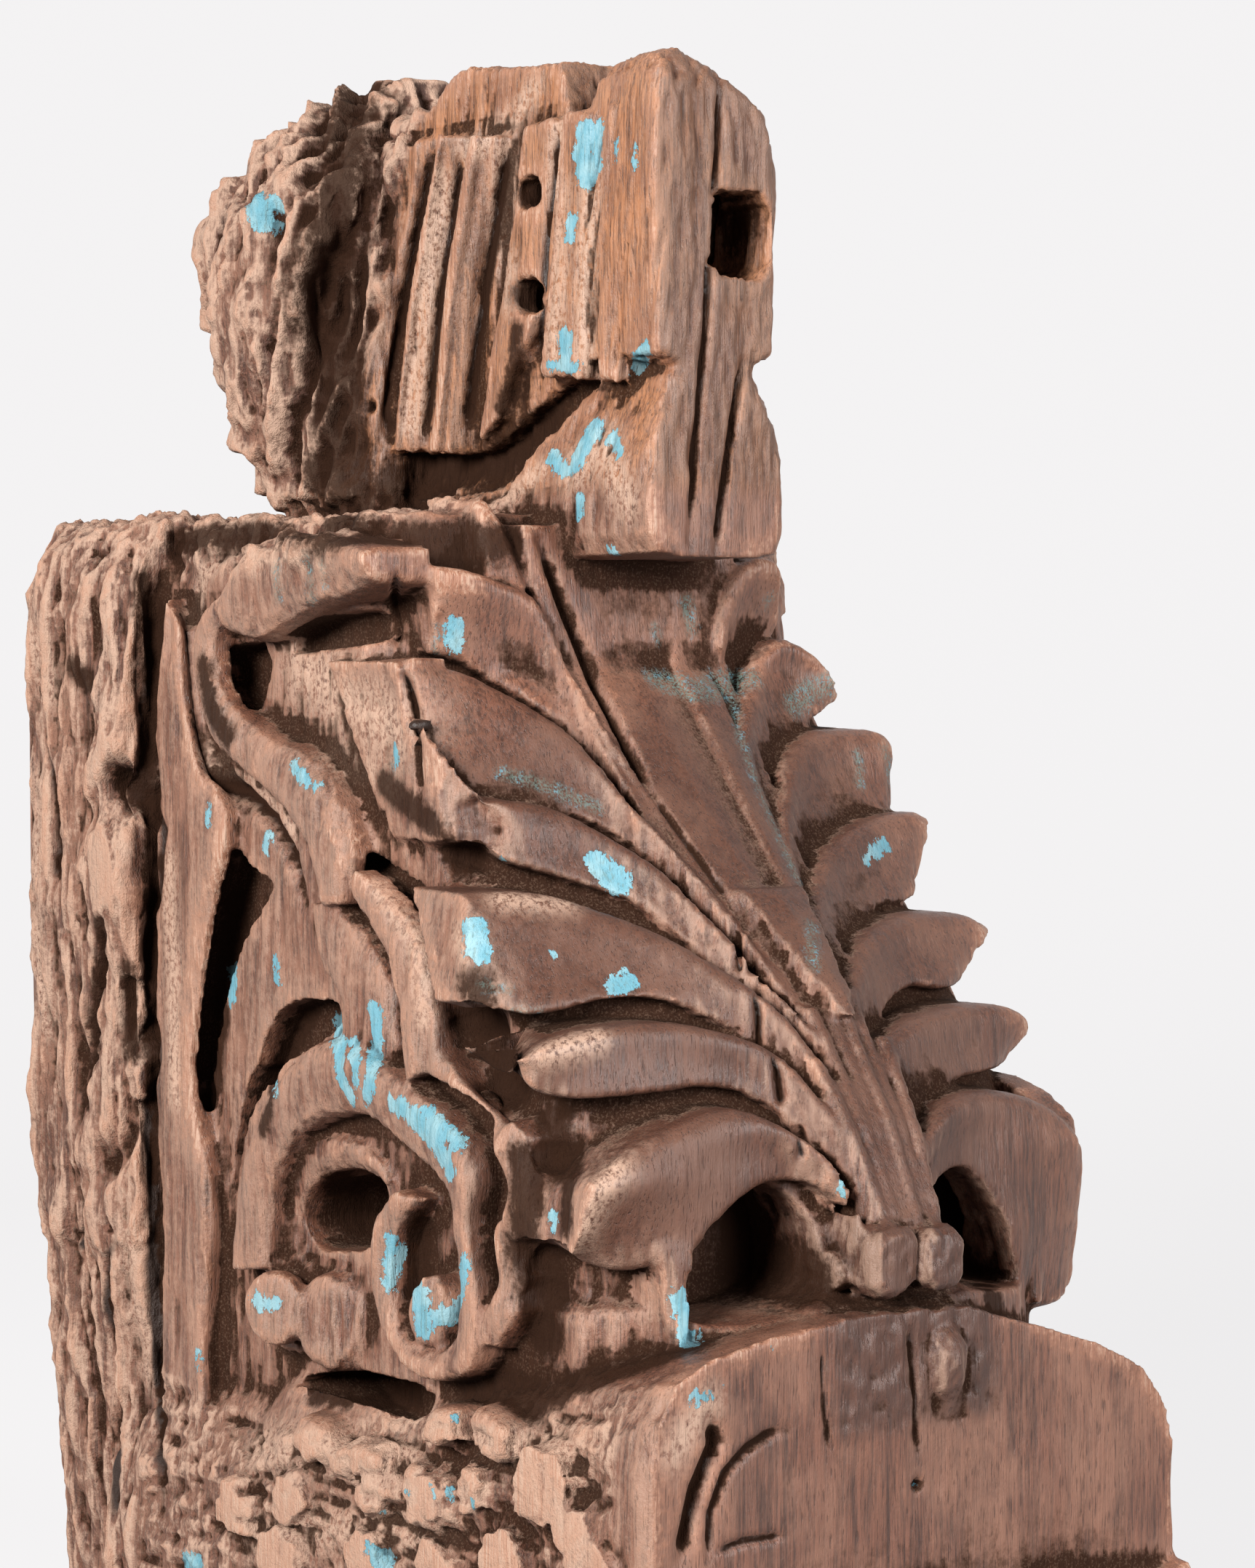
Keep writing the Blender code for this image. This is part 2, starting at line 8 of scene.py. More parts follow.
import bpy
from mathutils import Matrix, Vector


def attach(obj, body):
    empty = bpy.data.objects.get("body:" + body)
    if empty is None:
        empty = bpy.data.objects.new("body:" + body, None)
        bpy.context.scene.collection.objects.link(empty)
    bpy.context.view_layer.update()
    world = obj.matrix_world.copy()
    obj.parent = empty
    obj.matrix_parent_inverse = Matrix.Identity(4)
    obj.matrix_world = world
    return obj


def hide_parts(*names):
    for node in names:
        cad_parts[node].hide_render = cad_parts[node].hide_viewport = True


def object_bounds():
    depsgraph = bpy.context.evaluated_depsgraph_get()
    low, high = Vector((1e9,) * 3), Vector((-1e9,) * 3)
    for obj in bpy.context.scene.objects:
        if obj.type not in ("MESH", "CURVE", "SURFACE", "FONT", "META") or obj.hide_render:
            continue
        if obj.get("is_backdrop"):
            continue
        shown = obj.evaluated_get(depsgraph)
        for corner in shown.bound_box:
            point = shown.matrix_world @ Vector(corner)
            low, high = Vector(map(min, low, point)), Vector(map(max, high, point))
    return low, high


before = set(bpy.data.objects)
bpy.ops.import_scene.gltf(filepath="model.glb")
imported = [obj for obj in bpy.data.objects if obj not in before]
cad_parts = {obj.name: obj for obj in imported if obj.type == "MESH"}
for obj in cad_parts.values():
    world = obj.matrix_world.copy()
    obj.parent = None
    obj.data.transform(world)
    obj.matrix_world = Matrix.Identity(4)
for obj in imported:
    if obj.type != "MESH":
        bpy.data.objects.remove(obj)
CAD_LOW, CAD_HIGH = (tuple(corner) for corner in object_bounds())

import math

import bmesh
import bpy
import numpy as np
from mathutils import Matrix, Vector
from mathutils.kdtree import KDTree

MM = 0.001
VOXEL = 1.0
TRIANGLES = 960000
FLAT_DEPTH = 0.8
HOLLOW_RADIUS = 14.0
NOOK_RADIUS = 5.0

# Camera at the photograph's viewing angle. Points of the photograph are read on a picture of this size.
AZIMUTH = math.radians(-37.0)
ELEVATION = math.radians(2.0)
DISTANCE = 1.02
TARGET = Vector((0.0, -0.186, 0.0965))
LENS = 85.0
SENSOR = 36.0
TRACED_WIDTH = 1600.0
TRACED_HEIGHT = 2000.0

# Levels, half widths and distances from the wall
BOTTOM_Z = -172.0
BODY_TOP_Z = 172.0
LEDGE_Z = -31.0
PANEL_HALF = 74.0
BLOCK_HALF = 88.0
POST_S = 62.0
CORE_BACK_S = 30.0
BLOCK_FRONT_S = 311.0
TIER_FRONT_S = 317.5
TOP_FRONT_S = 227.0
GROUND_DROP = 14.0
LOBE_REACH = 79.0

# How far the flutes and the lump of the top block lean out for each millimetre up, and where they stand true
TOP_LEAN = 0.2
TOP_MIDDLE_Z = 240.0

# Front of the palmette on its axis (z, s), and how far it falls away towards the sides
AXIS_PROFILE = ((LEDGE_Z, BLOCK_FRONT_S), (-17, 309), (14, 295), (46, 273), (72, 245), (97, 222), (128, 196),
                (170, 190))
SIDE_FALL = ((LEDGE_Z, 28), (-17, 24), (3, 13), (50, 12), (80, 7), (105, 3), (130, 0))


def read(table, at):
    """Value of a (place, value) table at a place or an array of places."""
    places, values = zip(*table)
    return np.interp(at, places, values)


def front(x, z):
    """Distance of the palmette's outer surface from the wall."""
    return read(AXIS_PROFILE, z) - read(SIDE_FALL, z) * (x / 75.0) ** 2


def smooth(points, steps):
    """Points along a smooth curve through the given points, of any dimension."""
    nodes = [np.array(p, float) for p in points]
    nodes = [2 * nodes[0] - nodes[1]] + nodes + [2 * nodes[-1] - nodes[-2]]
    out = []
    for a, b, c, d in zip(nodes, nodes[1:], nodes[2:], nodes[3:]):
        for k in range(steps):
            t = k / steps
            out.append(0.5 * (2 * b + (c - a) * t + (2 * a - 5 * b + 4 * c - d) * t ** 2
                              + (3 * b - a - 3 * c + d) * t ** 3))
    return out + [nodes[-2]]


def solid(name, bm):
    """Object of a closed mesh whose points are still in drawn millimetres (x, s, z)."""
    for vert in bm.verts:
        vert.co = Vector((vert.co.x, -vert.co.y, vert.co.z)) * MM
    bmesh.ops.recalc_face_normals(bm, faces=bm.faces)
    bmesh.ops.triangulate(bm, faces=bm.faces)
    mesh = bpy.data.meshes.new(name)
    bm.to_mesh(mesh)
    bm.free()
    made = bpy.data.objects.new(name, mesh)
    bpy.context.scene.collection.objects.link(made)
    return made


def loft(name, rings, steps=1):
    """Closed solid through rings of drawn points, all with as many points, smoothed between the rings."""
    if steps > 1:
        count = len(rings[0])
        flat = smooth([np.array(ring, float).ravel() for ring in rings], steps)
        rings = [ring.reshape(count, 3) for ring in flat]
    bm = bmesh.new()
    loops = [[bm.verts.new(Vector(p)) for p in ring] for ring in rings]
    for low, high in zip(loops, loops[1:]):
        for i, vert in enumerate(low):
            j = (i + 1) % len(low)
            bm.faces.new((vert, low[j], high[j], high[i]))
    bm.faces.new(loops[0][::-1])
    bm.faces.new(loops[-1])
    return solid(name, bm)


def rounded(corners, steps=3):
    """Closed outline through corners, eased between them by cutting each corner twice."""
    outline = np.array(corners, float)
    for _ in range(steps - 1):
        ahead = np.roll(outline, -1, axis=0)
        outline = np.stack((0.8 * outline + 0.2 * ahead, 0.2 * outline + 0.8 * ahead), axis=1).reshape(-1, 2)
    return outline


def roll(name, start, end, radii, sides=36):
    """Turned bar between two drawn points, with a radius at each of its stations from start to end."""
    a, b = Vector(start), Vector(end)
    turn = (b - a).to_track_quat("Z", "Y").to_matrix()
    rings = []
    for share, radius in radii:
        middle = a.lerp(b, share)
        rings.append([middle + turn @ Vector((radius * math.cos(t), radius * math.sin(t), 0.0))
                      for t in (2 * math.pi * k / sides for k in range(sides))])
    return loft(name, rings)


def pebble(name, centre, radii, subdivisions=4):
    """Rounded lump with its own radius along each axis."""
    bm = bmesh.new()
    bmesh.ops.create_icosphere(bm, subdivisions=subdivisions, radius=1.0)
    bmesh.ops.transform(bm, matrix=Matrix.Translation(Vector(centre)) @ Matrix.Diagonal((*radii, 1.0)),
                        verts=bm.verts)
    return solid(name, bm)


def camera_axes():
    """Eye and the directions right, up and forward of the camera."""
    back = Vector((math.sin(AZIMUTH) * math.cos(ELEVATION), -math.cos(AZIMUTH) * math.cos(ELEVATION),
                   math.sin(ELEVATION)))
    right = (-back).cross(Vector((0, 0, 1))).normalized()
    return TARGET + back * DISTANCE, right, right.cross(-back), -back


def add_camera():
    eye, right, up, forward = camera_axes()
    data = bpy.data.cameras.new("camera")
    data.lens = LENS
    data.sensor_width = SENSOR
    made = bpy.data.objects.new("camera", data)
    made.matrix_world = Matrix.Translation(eye) @ Matrix((right, up, -forward)).transposed().to_4x4()
    bpy.context.scene.collection.objects.link(made)
    bpy.context.scene.camera = made


def sight(pixel):
    """Direction from the eye through a point of the traced picture."""
    _, right, up, forward = camera_axes()
    scale = SENSOR / (LENS * TRACED_HEIGHT)
    return (forward + right * ((pixel[0] - TRACED_WIDTH / 2) * scale)
            - up * ((pixel[1] - TRACED_HEIGHT / 2) * scale)).normalized()


# Enlarged parts of the photograph on which lines were read: place of the corner and scale on the traced
# picture
VIEWS = {"whole": (0.0, 0.0, 1.0), "top": (0.0, 0.0, 0.5315), "middle": (0.0, 601.9, 0.5315),
         "low": (0.0, 1296.3, 0.5315), "right": (556.5, 603.0, 0.6655), "foot": (648.1, 1296.3, 0.6053)}


def seen(view, *points):
    """Points read on one enlarged part, as points of the whole traced picture."""
    left, top, scale = VIEWS[view]
    return [(left + scale * x, top + scale * y) for x, y in points]


def on_side(pixel, half):
    """Point (s, z) of the plane that many millimetres left of the middle, under a point of the picture."""
    eye = camera_axes()[0] / MM
    way = sight(pixel)
    place = eye + way * ((-half - eye.x) / way.x)
    return -place.y, place.z


def even(points, count):
    """Smooth line through the points, read at evenly spaced places."""
    line = np.array(smooth(points, 8))
    run = np.r_[0, np.cumsum(np.linalg.norm(np.diff(line, axis=0), axis=1))]
    at = np.linspace(0, run[-1], count)
    return np.c_[np.interp(at, run, line[:, 0]), np.interp(at, run, line[:, 1])]


def on_front(pixel, sink=0.0):
    """Point (x, z) of the palmette's outer surface, sunk by some millimetres, under a pixel."""
    eye = camera_axes()[0] / MM
    way = sight(pixel)
    near, far = 600.0, 1100.0
    for _ in range(40):
        middle = (near + far) / 2
        place = eye + way * middle
        if -place.y > front(place.x, place.z) - sink:
            near = middle
        else:
            far = middle
    return min(place.x, LOBE_REACH), place.z


POST_LEFT = ((-172, 74), (-147, 77), (-110, 80.5), (-70, 84), (-43, 85), (-36, 88), (0, 89), (86, 90.3),
             (140, 90.3), (152, 89), (163, 85.5), (171, 79))
POST_RIGHT = 87.5
POST_RIGHT_FALL = 6.0
POST_SHOULDER_Z = 150.0
POST_RINGS = 60


def post():
    """Weathered upright at the wall."""
    rings = []
    for z in np.linspace(BOTTOM_Z, BODY_TOP_Z - 1, POST_RINGS):
        left = float(read(POST_LEFT, z)) - 1.0
        right = POST_RIGHT - POST_RIGHT_FALL * max(0.0, (z - POST_SHOULDER_Z) / 22.0) ** 2
        rings.append([(-left + 4, 0, z), (-left, 6, z), (-left, 22, z), (-left + 1, 38, z),
                      (-left + 0.5, 52, z), (-left + 4, POST_S, z), (0, POST_S, z), (right - 4, POST_S, z),
                      (right - 1, 52, z), (right - 2, 38, z), (right, 20, z), (right - 1, 6, z),
                      (right - 5, 0, z)])
    return loft("post", rings)


CORE_RINGS = 100
CORE_COLUMNS = 24
CORE_TOP_Z = 170.0
CORE_CORNER = 15.0
BLOCK_DROP = 6.0


def core():
    """Ground of the carving: the side panels and the surface behind the lobes."""
    rings = []
    for z in np.linspace(BOTTOM_Z, CORE_TOP_Z, CORE_RINGS):
        edge = PANEL_HALF - 6.0 * max(0.0, (z - 154) / 15)
        ring = [(edge, CORE_BACK_S, z)]
        for k in range(CORE_COLUMNS + 1):
            x = edge * (1 - 2 * k / CORE_COLUMNS)
            corner = CORE_CORNER * (abs(x) / edge) ** 6
            sink = BLOCK_DROP if z < -30 else GROUND_DROP
            ring.append((x, front(x, z) - sink - corner, z))
        ring.append((-edge, CORE_BACK_S, z))
        rings.append(ring)
    return loft("core", rings)


def lower_block():
    """Block under the palmette, with a ledge on top that falls towards the wall."""
    rings = []
    for inward, fall in ((263, 52), (189, 47), (171, 32), (110, 32), (58, 14), (11, 2), (5, 0), (1.5, -0.5),
                         (0, -2)):
        s = BLOCK_FRONT_S - inward
        edge = BLOCK_HALF - (1.5 if inward > 11 else 0.0) - (1.2 if inward < 3 else 0.0)
        top = [(1.0, -80), (0.965, -67), (0.87, -56), (0.68, -47), (0.45, -40), (0.16, -32), (0.0, LEDGE_Z)]
        half = [(edge * share, z - fall * share ** 2) for share, z in top]
        near = [(-edge * share, z - fall * share ** 2) for share, z in
                ((0.3, LEDGE_Z), (0.55, -33), (0.8, -37.5), (0.91, -42), (0.98, -52), (1.0, -66))]
        outline = [(edge, BOTTOM_Z)] + half + near + [(-edge, BOTTOM_Z)]
        rings.append([(x, s, z) for x, z in outline])
    return loft("lower_block", rings)


TIER_TOP_Z = -103.0
TIER_TILT = 3.0
SCALLOPS = 4
SCALLOP_DEPTH = 4.5
SCALLOP_STEPS = 64


def lower_tier():
    """Second tier of the block, a little proud of it, with a scalloped upper edge."""
    rings = []
    for s, drop in ((BLOCK_FRONT_S - 15, 0.0), (TIER_FRONT_S - 4, 0.0), (TIER_FRONT_S - 1.2, 0.8),
                    (TIER_FRONT_S, 3.0)):
        outline = [(BLOCK_HALF, BOTTOM_Z)]
        for k in range(SCALLOP_STEPS + 1):
            share = 1 - 2 * k / SCALLOP_STEPS
            scallop = SCALLOP_DEPTH * abs(math.sin(k * math.pi * SCALLOPS / SCALLOP_STEPS))
            outline.append((share * (BLOCK_HALF - 0.3), TIER_TOP_Z - drop - scallop - TIER_TILT * share))
        outline.append((-BLOCK_HALF, BOTTOM_Z))
        rings.append([(x, s, z) for x, z in outline])
    return loft("lower_tier", rings)


# Lobes on the left, traced from tip to root: the upper arris, the lower edge and the depth of the end face
LEFT_LOBES = {
    "a": (((564, 723), (600, 730), (645, 745), (685, 767), (709, 815), (736, 868), (765, 915), (802, 969),
           (832, 1015), (866, 1062), (895, 1100)),
          ((563, 832), (600, 845), (643, 872), (685, 898), (722, 925), (760, 966), (797, 1008), (829, 1040),
           (864, 1088), (900, 1126)), 42),
    "b": (((513, 846), (558, 851), (601, 862), (643, 884), (686, 908), (728, 937), (765, 974), (803, 1022),
           (838, 1056), (875, 1098), (912, 1140), (945, 1180), (975, 1220)),
          ((538, 930), (575, 978), (612, 1009), (660, 1023), (713, 1034), (765, 1050), (805, 1075),
           (842, 1106), (885, 1150), (930, 1198), (960, 1232), (990, 1265)), 42),
    "c": (((541, 912), (562, 950), (590, 990), (622, 1014), (665, 1024), (710, 1032), (760, 1056),
           (803, 1082), (843, 1109), (889, 1155), (936, 1202), (975, 1250), (1022, 1298), (1065, 1345),
           (1100, 1400), (1128, 1470), (1146, 1550)),
          ((590, 1075), (632, 1091), (690, 1109), (749, 1128), (809, 1148), (843, 1170), (889, 1209),
           (929, 1242), (970, 1282), (1015, 1330), (1056, 1380), (1092, 1440), (1120, 1510), (1132, 1570)),
          44),
    "d": (((600, 1143), (650, 1141), (716, 1147), (789, 1170), (856, 1199), (909, 1229), (956, 1259),
           (1000, 1296), (1045, 1350), (1080, 1400), (1108, 1460), (1126, 1530), (1130, 1575)),
          ((612, 1286), (670, 1298), (723, 1290), (776, 1277), (843, 1275), (903, 1295), (956, 1325),
           (1005, 1370), (1048, 1420), (1082, 1474), (1104, 1530), (1114, 1585)), 31),
    "e": (((652, 1352), (697, 1334), (749, 1317), (823, 1307), (889, 1312), (956, 1328), (1000, 1352),
           (1035, 1387), (1072, 1430), (1098, 1478), (1112, 1530), (1116, 1590)),
          ((660, 1372), (690, 1392), (735, 1402), (790, 1400), (850, 1393), (902, 1387), (951, 1394),
           (984, 1411), (1017, 1442), (1055, 1480), (1084, 1525), (1100, 1590)), 28),
    "f": (((731, 1608), (739, 1569), (757, 1520), (784, 1494), (830, 1461), (878, 1436), (920, 1420),
           (963, 1422), (1011, 1445), (1048, 1470), (1078, 1505), (1096, 1545), (1104, 1600)),
          ((742, 1620), (775, 1625), (815, 1624), (852, 1612), (890, 1600), (914, 1569), (951, 1532),
           (987, 1510), (1035, 1510), (1070, 1538), (1086, 1570), (1092, 1605)), 34),
}
# Lobes on the right, traced in the same way
RIGHT_LOBES = {
    "r0": (((1000, 735), (988, 716), (966, 714), (944, 730), (926, 770), (918, 820)),
           ((1001, 790), (990, 808), (972, 818), (958, 832), (946, 850), (936, 880)), 18),
    "r1": (((1070, 868), (1050, 845), (1024, 826), (998, 818), (972, 842), (956, 890), (948, 935),
            (958, 985)),
           ((1072, 890), (1056, 908), (1038, 920), (1020, 935), (1004, 955), (994, 985), (990, 1015),
            (996, 1050)), 24),
    "r2": (((1144, 945), (1120, 934), (1085, 932), (1045, 936), (1016, 962), (1004, 1000), (1002, 1050),
            (1016, 1110)),
           ((1156, 1030), (1130, 1036), (1100, 1040), (1070, 1055), (1048, 1080), (1036, 1110), (1034, 1140),
            (1044, 1190)), 24),
    "r3": (((1190, 1044), (1165, 1038), (1130, 1044), (1098, 1058), (1062, 1086), (1044, 1120), (1040, 1170),
            (1052, 1230), (1068, 1290)),
           ((1187, 1144), (1160, 1150), (1130, 1155), (1104, 1172), (1090, 1205), (1082, 1240), (1082, 1280),
            (1088, 1320), (1096, 1360)), 24),
    "r4": (((1270, 1186), (1240, 1170), (1205, 1166), (1160, 1170), (1126, 1184), (1100, 1212), (1088, 1260),
            (1090, 1330), (1100, 1400), (1112, 1470), (1122, 1550)),
           ((1240, 1258), (1210, 1262), (1170, 1258), (1145, 1272), (1126, 1300), (1116, 1340), (1114, 1380),
            (1120, 1430), (1128, 1480), (1136, 1520), (1142, 1565)), 24),
    "r5": (((1322, 1308), (1298, 1290), (1255, 1284), (1210, 1290), (1165, 1304), (1134, 1330), (1120, 1370),
            (1120, 1430), (1132, 1500), (1146, 1570)),
           ((1296, 1360), (1262, 1368), (1225, 1378), (1190, 1396), (1166, 1425), (1154, 1460), (1150, 1500),
            (1156, 1540), (1162, 1565), (1164, 1580)), 26),
    "r6": (((1360, 1660), (1385, 1560), (1394, 1495), (1370, 1440), (1325, 1406), (1272, 1394), (1222, 1402),
            (1190, 1440), (1168, 1490), (1160, 1540), (1160, 1590)),
           ((1316, 1680), (1304, 1630), (1296, 1575), (1272, 1525), (1240, 1492), (1216, 1494), (1196, 1515),
            (1186, 1545), (1180, 1570), (1176, 1590), (1172, 1604)), 36),
}
LOBE_STEPS = 44
LOBE_SLOPE = 8.0
# Face of a lobe from its upper arris to its lower edge: share of the way, share of the slope, millimetres
LOBE_FACE = ((-0.02, 0.0, 1.8), (0.01, 0.0, 0.6), (0.05, 0.0, 0.0), (0.12, 0.02, 0.0), (0.25, 0.16, 0.0),
             (0.42, 0.4, 0.0), (0.6, 0.62, 0.0), (0.78, 0.8, 0.0), (0.92, 0.92, 0.0), (0.98, 1.0, 0.0),
             (1.01, 1.1, 0.8))


def lobe(name, upper, lower, depth):
    """Lobe between two edges in (x, z), from root to tip, with a face that rolls back to its lower edge."""
    rings = []
    steps = len(upper) - 1
    for k, (top, low) in enumerate(zip(upper, lower)):
        t = k / steps
        back = 20.0 + (depth - 20.0) * t ** 3
        slope = LOBE_SLOPE * min(1.0, np.hypot(*(low - top)) / 13.0)
        tuck = 2.6 * max(0.0, (t - 0.9) / 0.1) ** 2
        curl = 4.0 * max(0.0, (t - 0.75) / 0.25) ** 2
        ring = []
        for share, fall, extra in LOBE_FACE:
            x, z = top + (low - top) * share
            ring.append((x, front(x, z) - fall * slope - extra - tuck - curl * max(0.0, share - 0.35), z))
        for x, z, rise in ((*low, 0.0), (*top, 0.8)):
            ring.append((x * 0.97, front(x, z) - back, z + rise))
        rings.append(ring)
    return loft("lobe_" + name, rings)


def lobes():
    """The lobes on both sides of the middle leaf, from their traced edges."""
    made = []
    for table in (LEFT_LOBES, RIGHT_LOBES):
        for name, (upper, lower, depth) in table.items():
            tops = even([on_front(pixel) for pixel in upper], LOBE_STEPS)
            lows = even([on_front(pixel, 0.8 * LOBE_SLOPE) for pixel in lower], LOBE_STEPS)
            made.append(lobe(name, tops[::-1], lows[::-1], depth))
    return made


def centre_lobe():
    """Upright leaf in the middle, with a raised rim, two grooves and a crease, pointed below."""
    rings = []
    outline = smooth(((40, 3.0), (52, 8.0), (70, 14.0), (96, 19.5), (125, 22.5), (133, 24), (146, 27),
                      (160, 30)), 6)
    face = ((1.0, 4.0), (0.93, 2.4), (0.7, 1.0), (0.46, 0.0), (0.42, 1.4), (0.36, 2.4), (0.15, 2.0),
            (-0.1, 1.2), (-0.3, 0.6), (-0.36, 1.2), (-0.6, 1.2), (-0.85, 1.6), (-1.0, 2.6))
    for z, half in outline:
        swell = 1.6 - 4.0 * float(np.clip((z - 122) / 12, 0, 1))
        ring = [(half, front(0, z) - 30, z)]
        ring += [(half * share, front(half * share, z) + swell - sink, z) for share, sink in face]
        ring.append((-half, front(0, z) - 30, z))
        rings.append(ring)
    return loft("centre_lobe", rings)


def leaf_bed():
    """Wood on both sides of the middle leaf, just under the carved surface."""
    rings = []
    for z, half in ((36, 10), (52, 14), (70, 20), (96, 25), (125, 29), (136, 30), (150, 34), (167, 37)):
        rings.append([(half * share, front(half * share, z) - (20 if abs(share) > 1 else 2.8), z)
                      for share in (1.01, 0.99, 0.5, 0.0, -0.5, -0.99, -1.01)])
    return loft("leaf_bed", rings, 3)


def centre_tip():
    """Small cut tip nested in the lower end of the middle leaf."""
    rings = []
    for z, half in ((40, 2.6), (46, 4.5), (58, 7.8), (69, 10.6), (71, 10.8)):
        s = front(0, z)
        rings.append([(half, s - 12, z), (half, s + 2.4, z), (half * 0.9, s + 3.2, z), (0, s + 5, z),
                      (-half * 0.9, s + 3.2, z), (-half, s + 2.4, z), (-half, s - 12, z)])
    return loft("centre_tip", rings)


def stems():
    """Narrow stalks of the lobes, side by side down to the knot."""
    made = []
    for k, (low_x, high_x, high_z, half) in enumerate(((-8.5, -14, 30, 1.9), (-5.4, -8.5, 42, 1.8),
                                                      (-2.2, -3.5, 52, 1.8), (1.0, 1.2, 56, 1.8),
                                                      (4.2, 6.5, 46, 1.8), (7.4, 11.5, 34, 1.8))):
        rings = []
        for t in np.linspace(0, 1, 16):
            x = low_x + (high_x - low_x) * t ** 1.4
            z = -22 + (high_z + 22) * t
            s = front(x, z) + 0.6 * math.sin(2.3 * k + 1)
            rings.append([(x - half, s - 12, z), (x - half, s - 1.2, z), (x - 0.5 * half, s + 0.8, z),
                          (x + 0.5 * half, s + 0.8, z), (x + half, s - 1.2, z), (x + half, s - 12, z)])
        made.append(loft(f"stem_{k}", rings))
    return made


def knot():
    """Band that ties the stems, the drop that hangs below it and the broken stub beside it."""
    s = BLOCK_FRONT_S
    made = []
    for name, x, half, z, high, out in (("left", -10.5, 6.6, -18.5, 9.0, 1.0),
                                        ("right", 3.2, 5.8, -18.5, 8.3, 3.6)):
        outline = rounded(((x - half, z - high), (x + half, z - high * 0.9), (x + half, z + high),
                           (x - half, z + high * 0.9)), 2)
        rings = [[(px, s - 12, pz) for px, pz in outline], [(px, s + out - 2.0, pz) for px, pz in outline],
                 [(x + (px - x) * 0.82, s + out, z + (pz - z) * 0.82) for px, pz in outline]]
        made.append(loft("knot_" + name, rings))
    made.append(pebble("knot_drop", (6, s - 2, -45), (5.8, 7.0, 9.8)))
    made.append(pebble("stub", (-19, 292, -22), (9, 9, 5.5)))
    made.append(pebble("stub_tip", (-25, 290, -23.5), (7, 6, 3.2)))
    return made


def leg(side):
    """Thin front of the wall between a hollow and the side panel, under the lowest lobe."""
    outer = even([on_front(p, 4.0) for p in ((846, 1590), (854, 1625), (857, 1660), (863, 1730))], 16)
    inner = even([on_front(p, 4.0) for p in ((914, 1569), (896, 1612), (888, 1660), (885, 1730))], 16)
    rings = []
    for (x, z), (far_x, far_z) in zip(outer, inner):
        s = front(x, z) - 4.5
        rings.append([(-side * x, s - 24, z), (-side * x, s - 1.5, z),
                      (-side * (0.8 * x + 0.2 * far_x), s, z),
                      (-side * far_x, s + 1.0, far_z), (-side * far_x, s - 24, far_z)])
    return loft("leg", rings)


def leaf_chip():
    """Small pointed leaf that stands in the corner above the first lobe."""
    rings = []
    for z, x, half, s in ((150, -38, 8, 190), (160, -40, 6.5, 187), (168, -42, 4.5, 184),
                          (174, -43.5, 1.2, 180)):
        rings.append([(x - half, s - 26, z), (x - half, s - 3, z), (x, s, z), (x + half, s - 6, z),
                      (x + half, s - 26, z)])
    return loft("leaf_chip", rings, 4)


# Section of a carved band: share of the way across, share of the height
ROUND_BAND = ((0, 0), (0, 0.72), (0.07, 0.9), (0.2, 0.99), (0.4, 1.0), (0.62, 0.97), (0.85, 0.9),
              (0.95, 0.8), (1, 0.62), (1, 0))
FLAT_BAND = ((0, 0), (0, 0.86), (0.05, 0.96), (0.15, 1.0), (0.5, 1.0), (0.85, 1.0), (0.95, 0.96), (1, 0.86),
             (1, 0))
RISING_BAND = ((0, 0), (0, 0.25), (0.1, 0.36), (0.3, 0.55), (0.55, 0.78), (0.8, 0.96), (1, 1.0), (1, 0))
FOOT = PANEL_HALF - 8.0


def strip(name, side, one, other, height, section=ROUND_BAND, count=40, foot=FOOT, base=PANEL_HALF):
    """Band between two edges that were traced on the left side, at a height over the side panel."""
    top = base + height
    first, second = (even([on_side(p, top) for p in edge], count) for edge in (one, other))
    rings = []
    for a, b in zip(first, second):
        rings.append([(side * (foot + (top - foot) * rise), *(a + (b - a) * share))
                      for share, rise in section])
    return loft(name, rings)


def ribbon(name, side, path, width, height=8.0, foot=PANEL_HALF - 6.0, steps=6, bevel=0.3):
    """Carved band that follows a (s, z) path over one side panel, with a width for each point."""
    line = smooth([(*p, w) for p, w in zip(path, width)], steps)
    top = PANEL_HALF + height
    rings = []
    for k, (s, z, w) in enumerate(line):
        ahead, behind = line[min(k + 1, len(line) - 1)], line[max(k - 1, 0)]
        along = np.array((ahead[0] - behind[0], ahead[1] - behind[1]))
        across = np.array((-along[1], along[0])) / np.linalg.norm(along)
        drop = bevel * w * 0.5
        profile = ((-0.5, foot), (-0.5, top - drop), (-0.5 + bevel, top), (0.5 - bevel, top),
                   (0.5, top - drop), (0.5, foot))
        rings.append([(side * x, s + across[0] * w * t, z + across[1] * w * t) for t, x in profile])
    return loft(name, rings)


def chunk(name, side, view, pixel, radii, turn, half=86.0):
    """Broken piece of moulding on the side, under a point of the picture."""
    s, z = on_side(seen(view, pixel)[0], half)
    rings = []
    for out, spread in ((-1.6, 1.15), (0.2, 1.0), (0.75, 0.86), (1.0, 0.55)):
        ring = []
        for u, v in rounded(((-1, -0.9), (0.2, -1), (1, -0.6), (0.8, 0.7), (-0.1, 1.0), (-0.9, 0.6)), 2):
            du, dv = radii[1] * spread * u, radii[2] * spread * v
            ring.append((side * (half + radii[0] * out), s + du * math.cos(turn) - dv * math.sin(turn),
                         z + du * math.sin(turn) + dv * math.cos(turn)))
        rings.append(ring)
    return loft(name, rings)


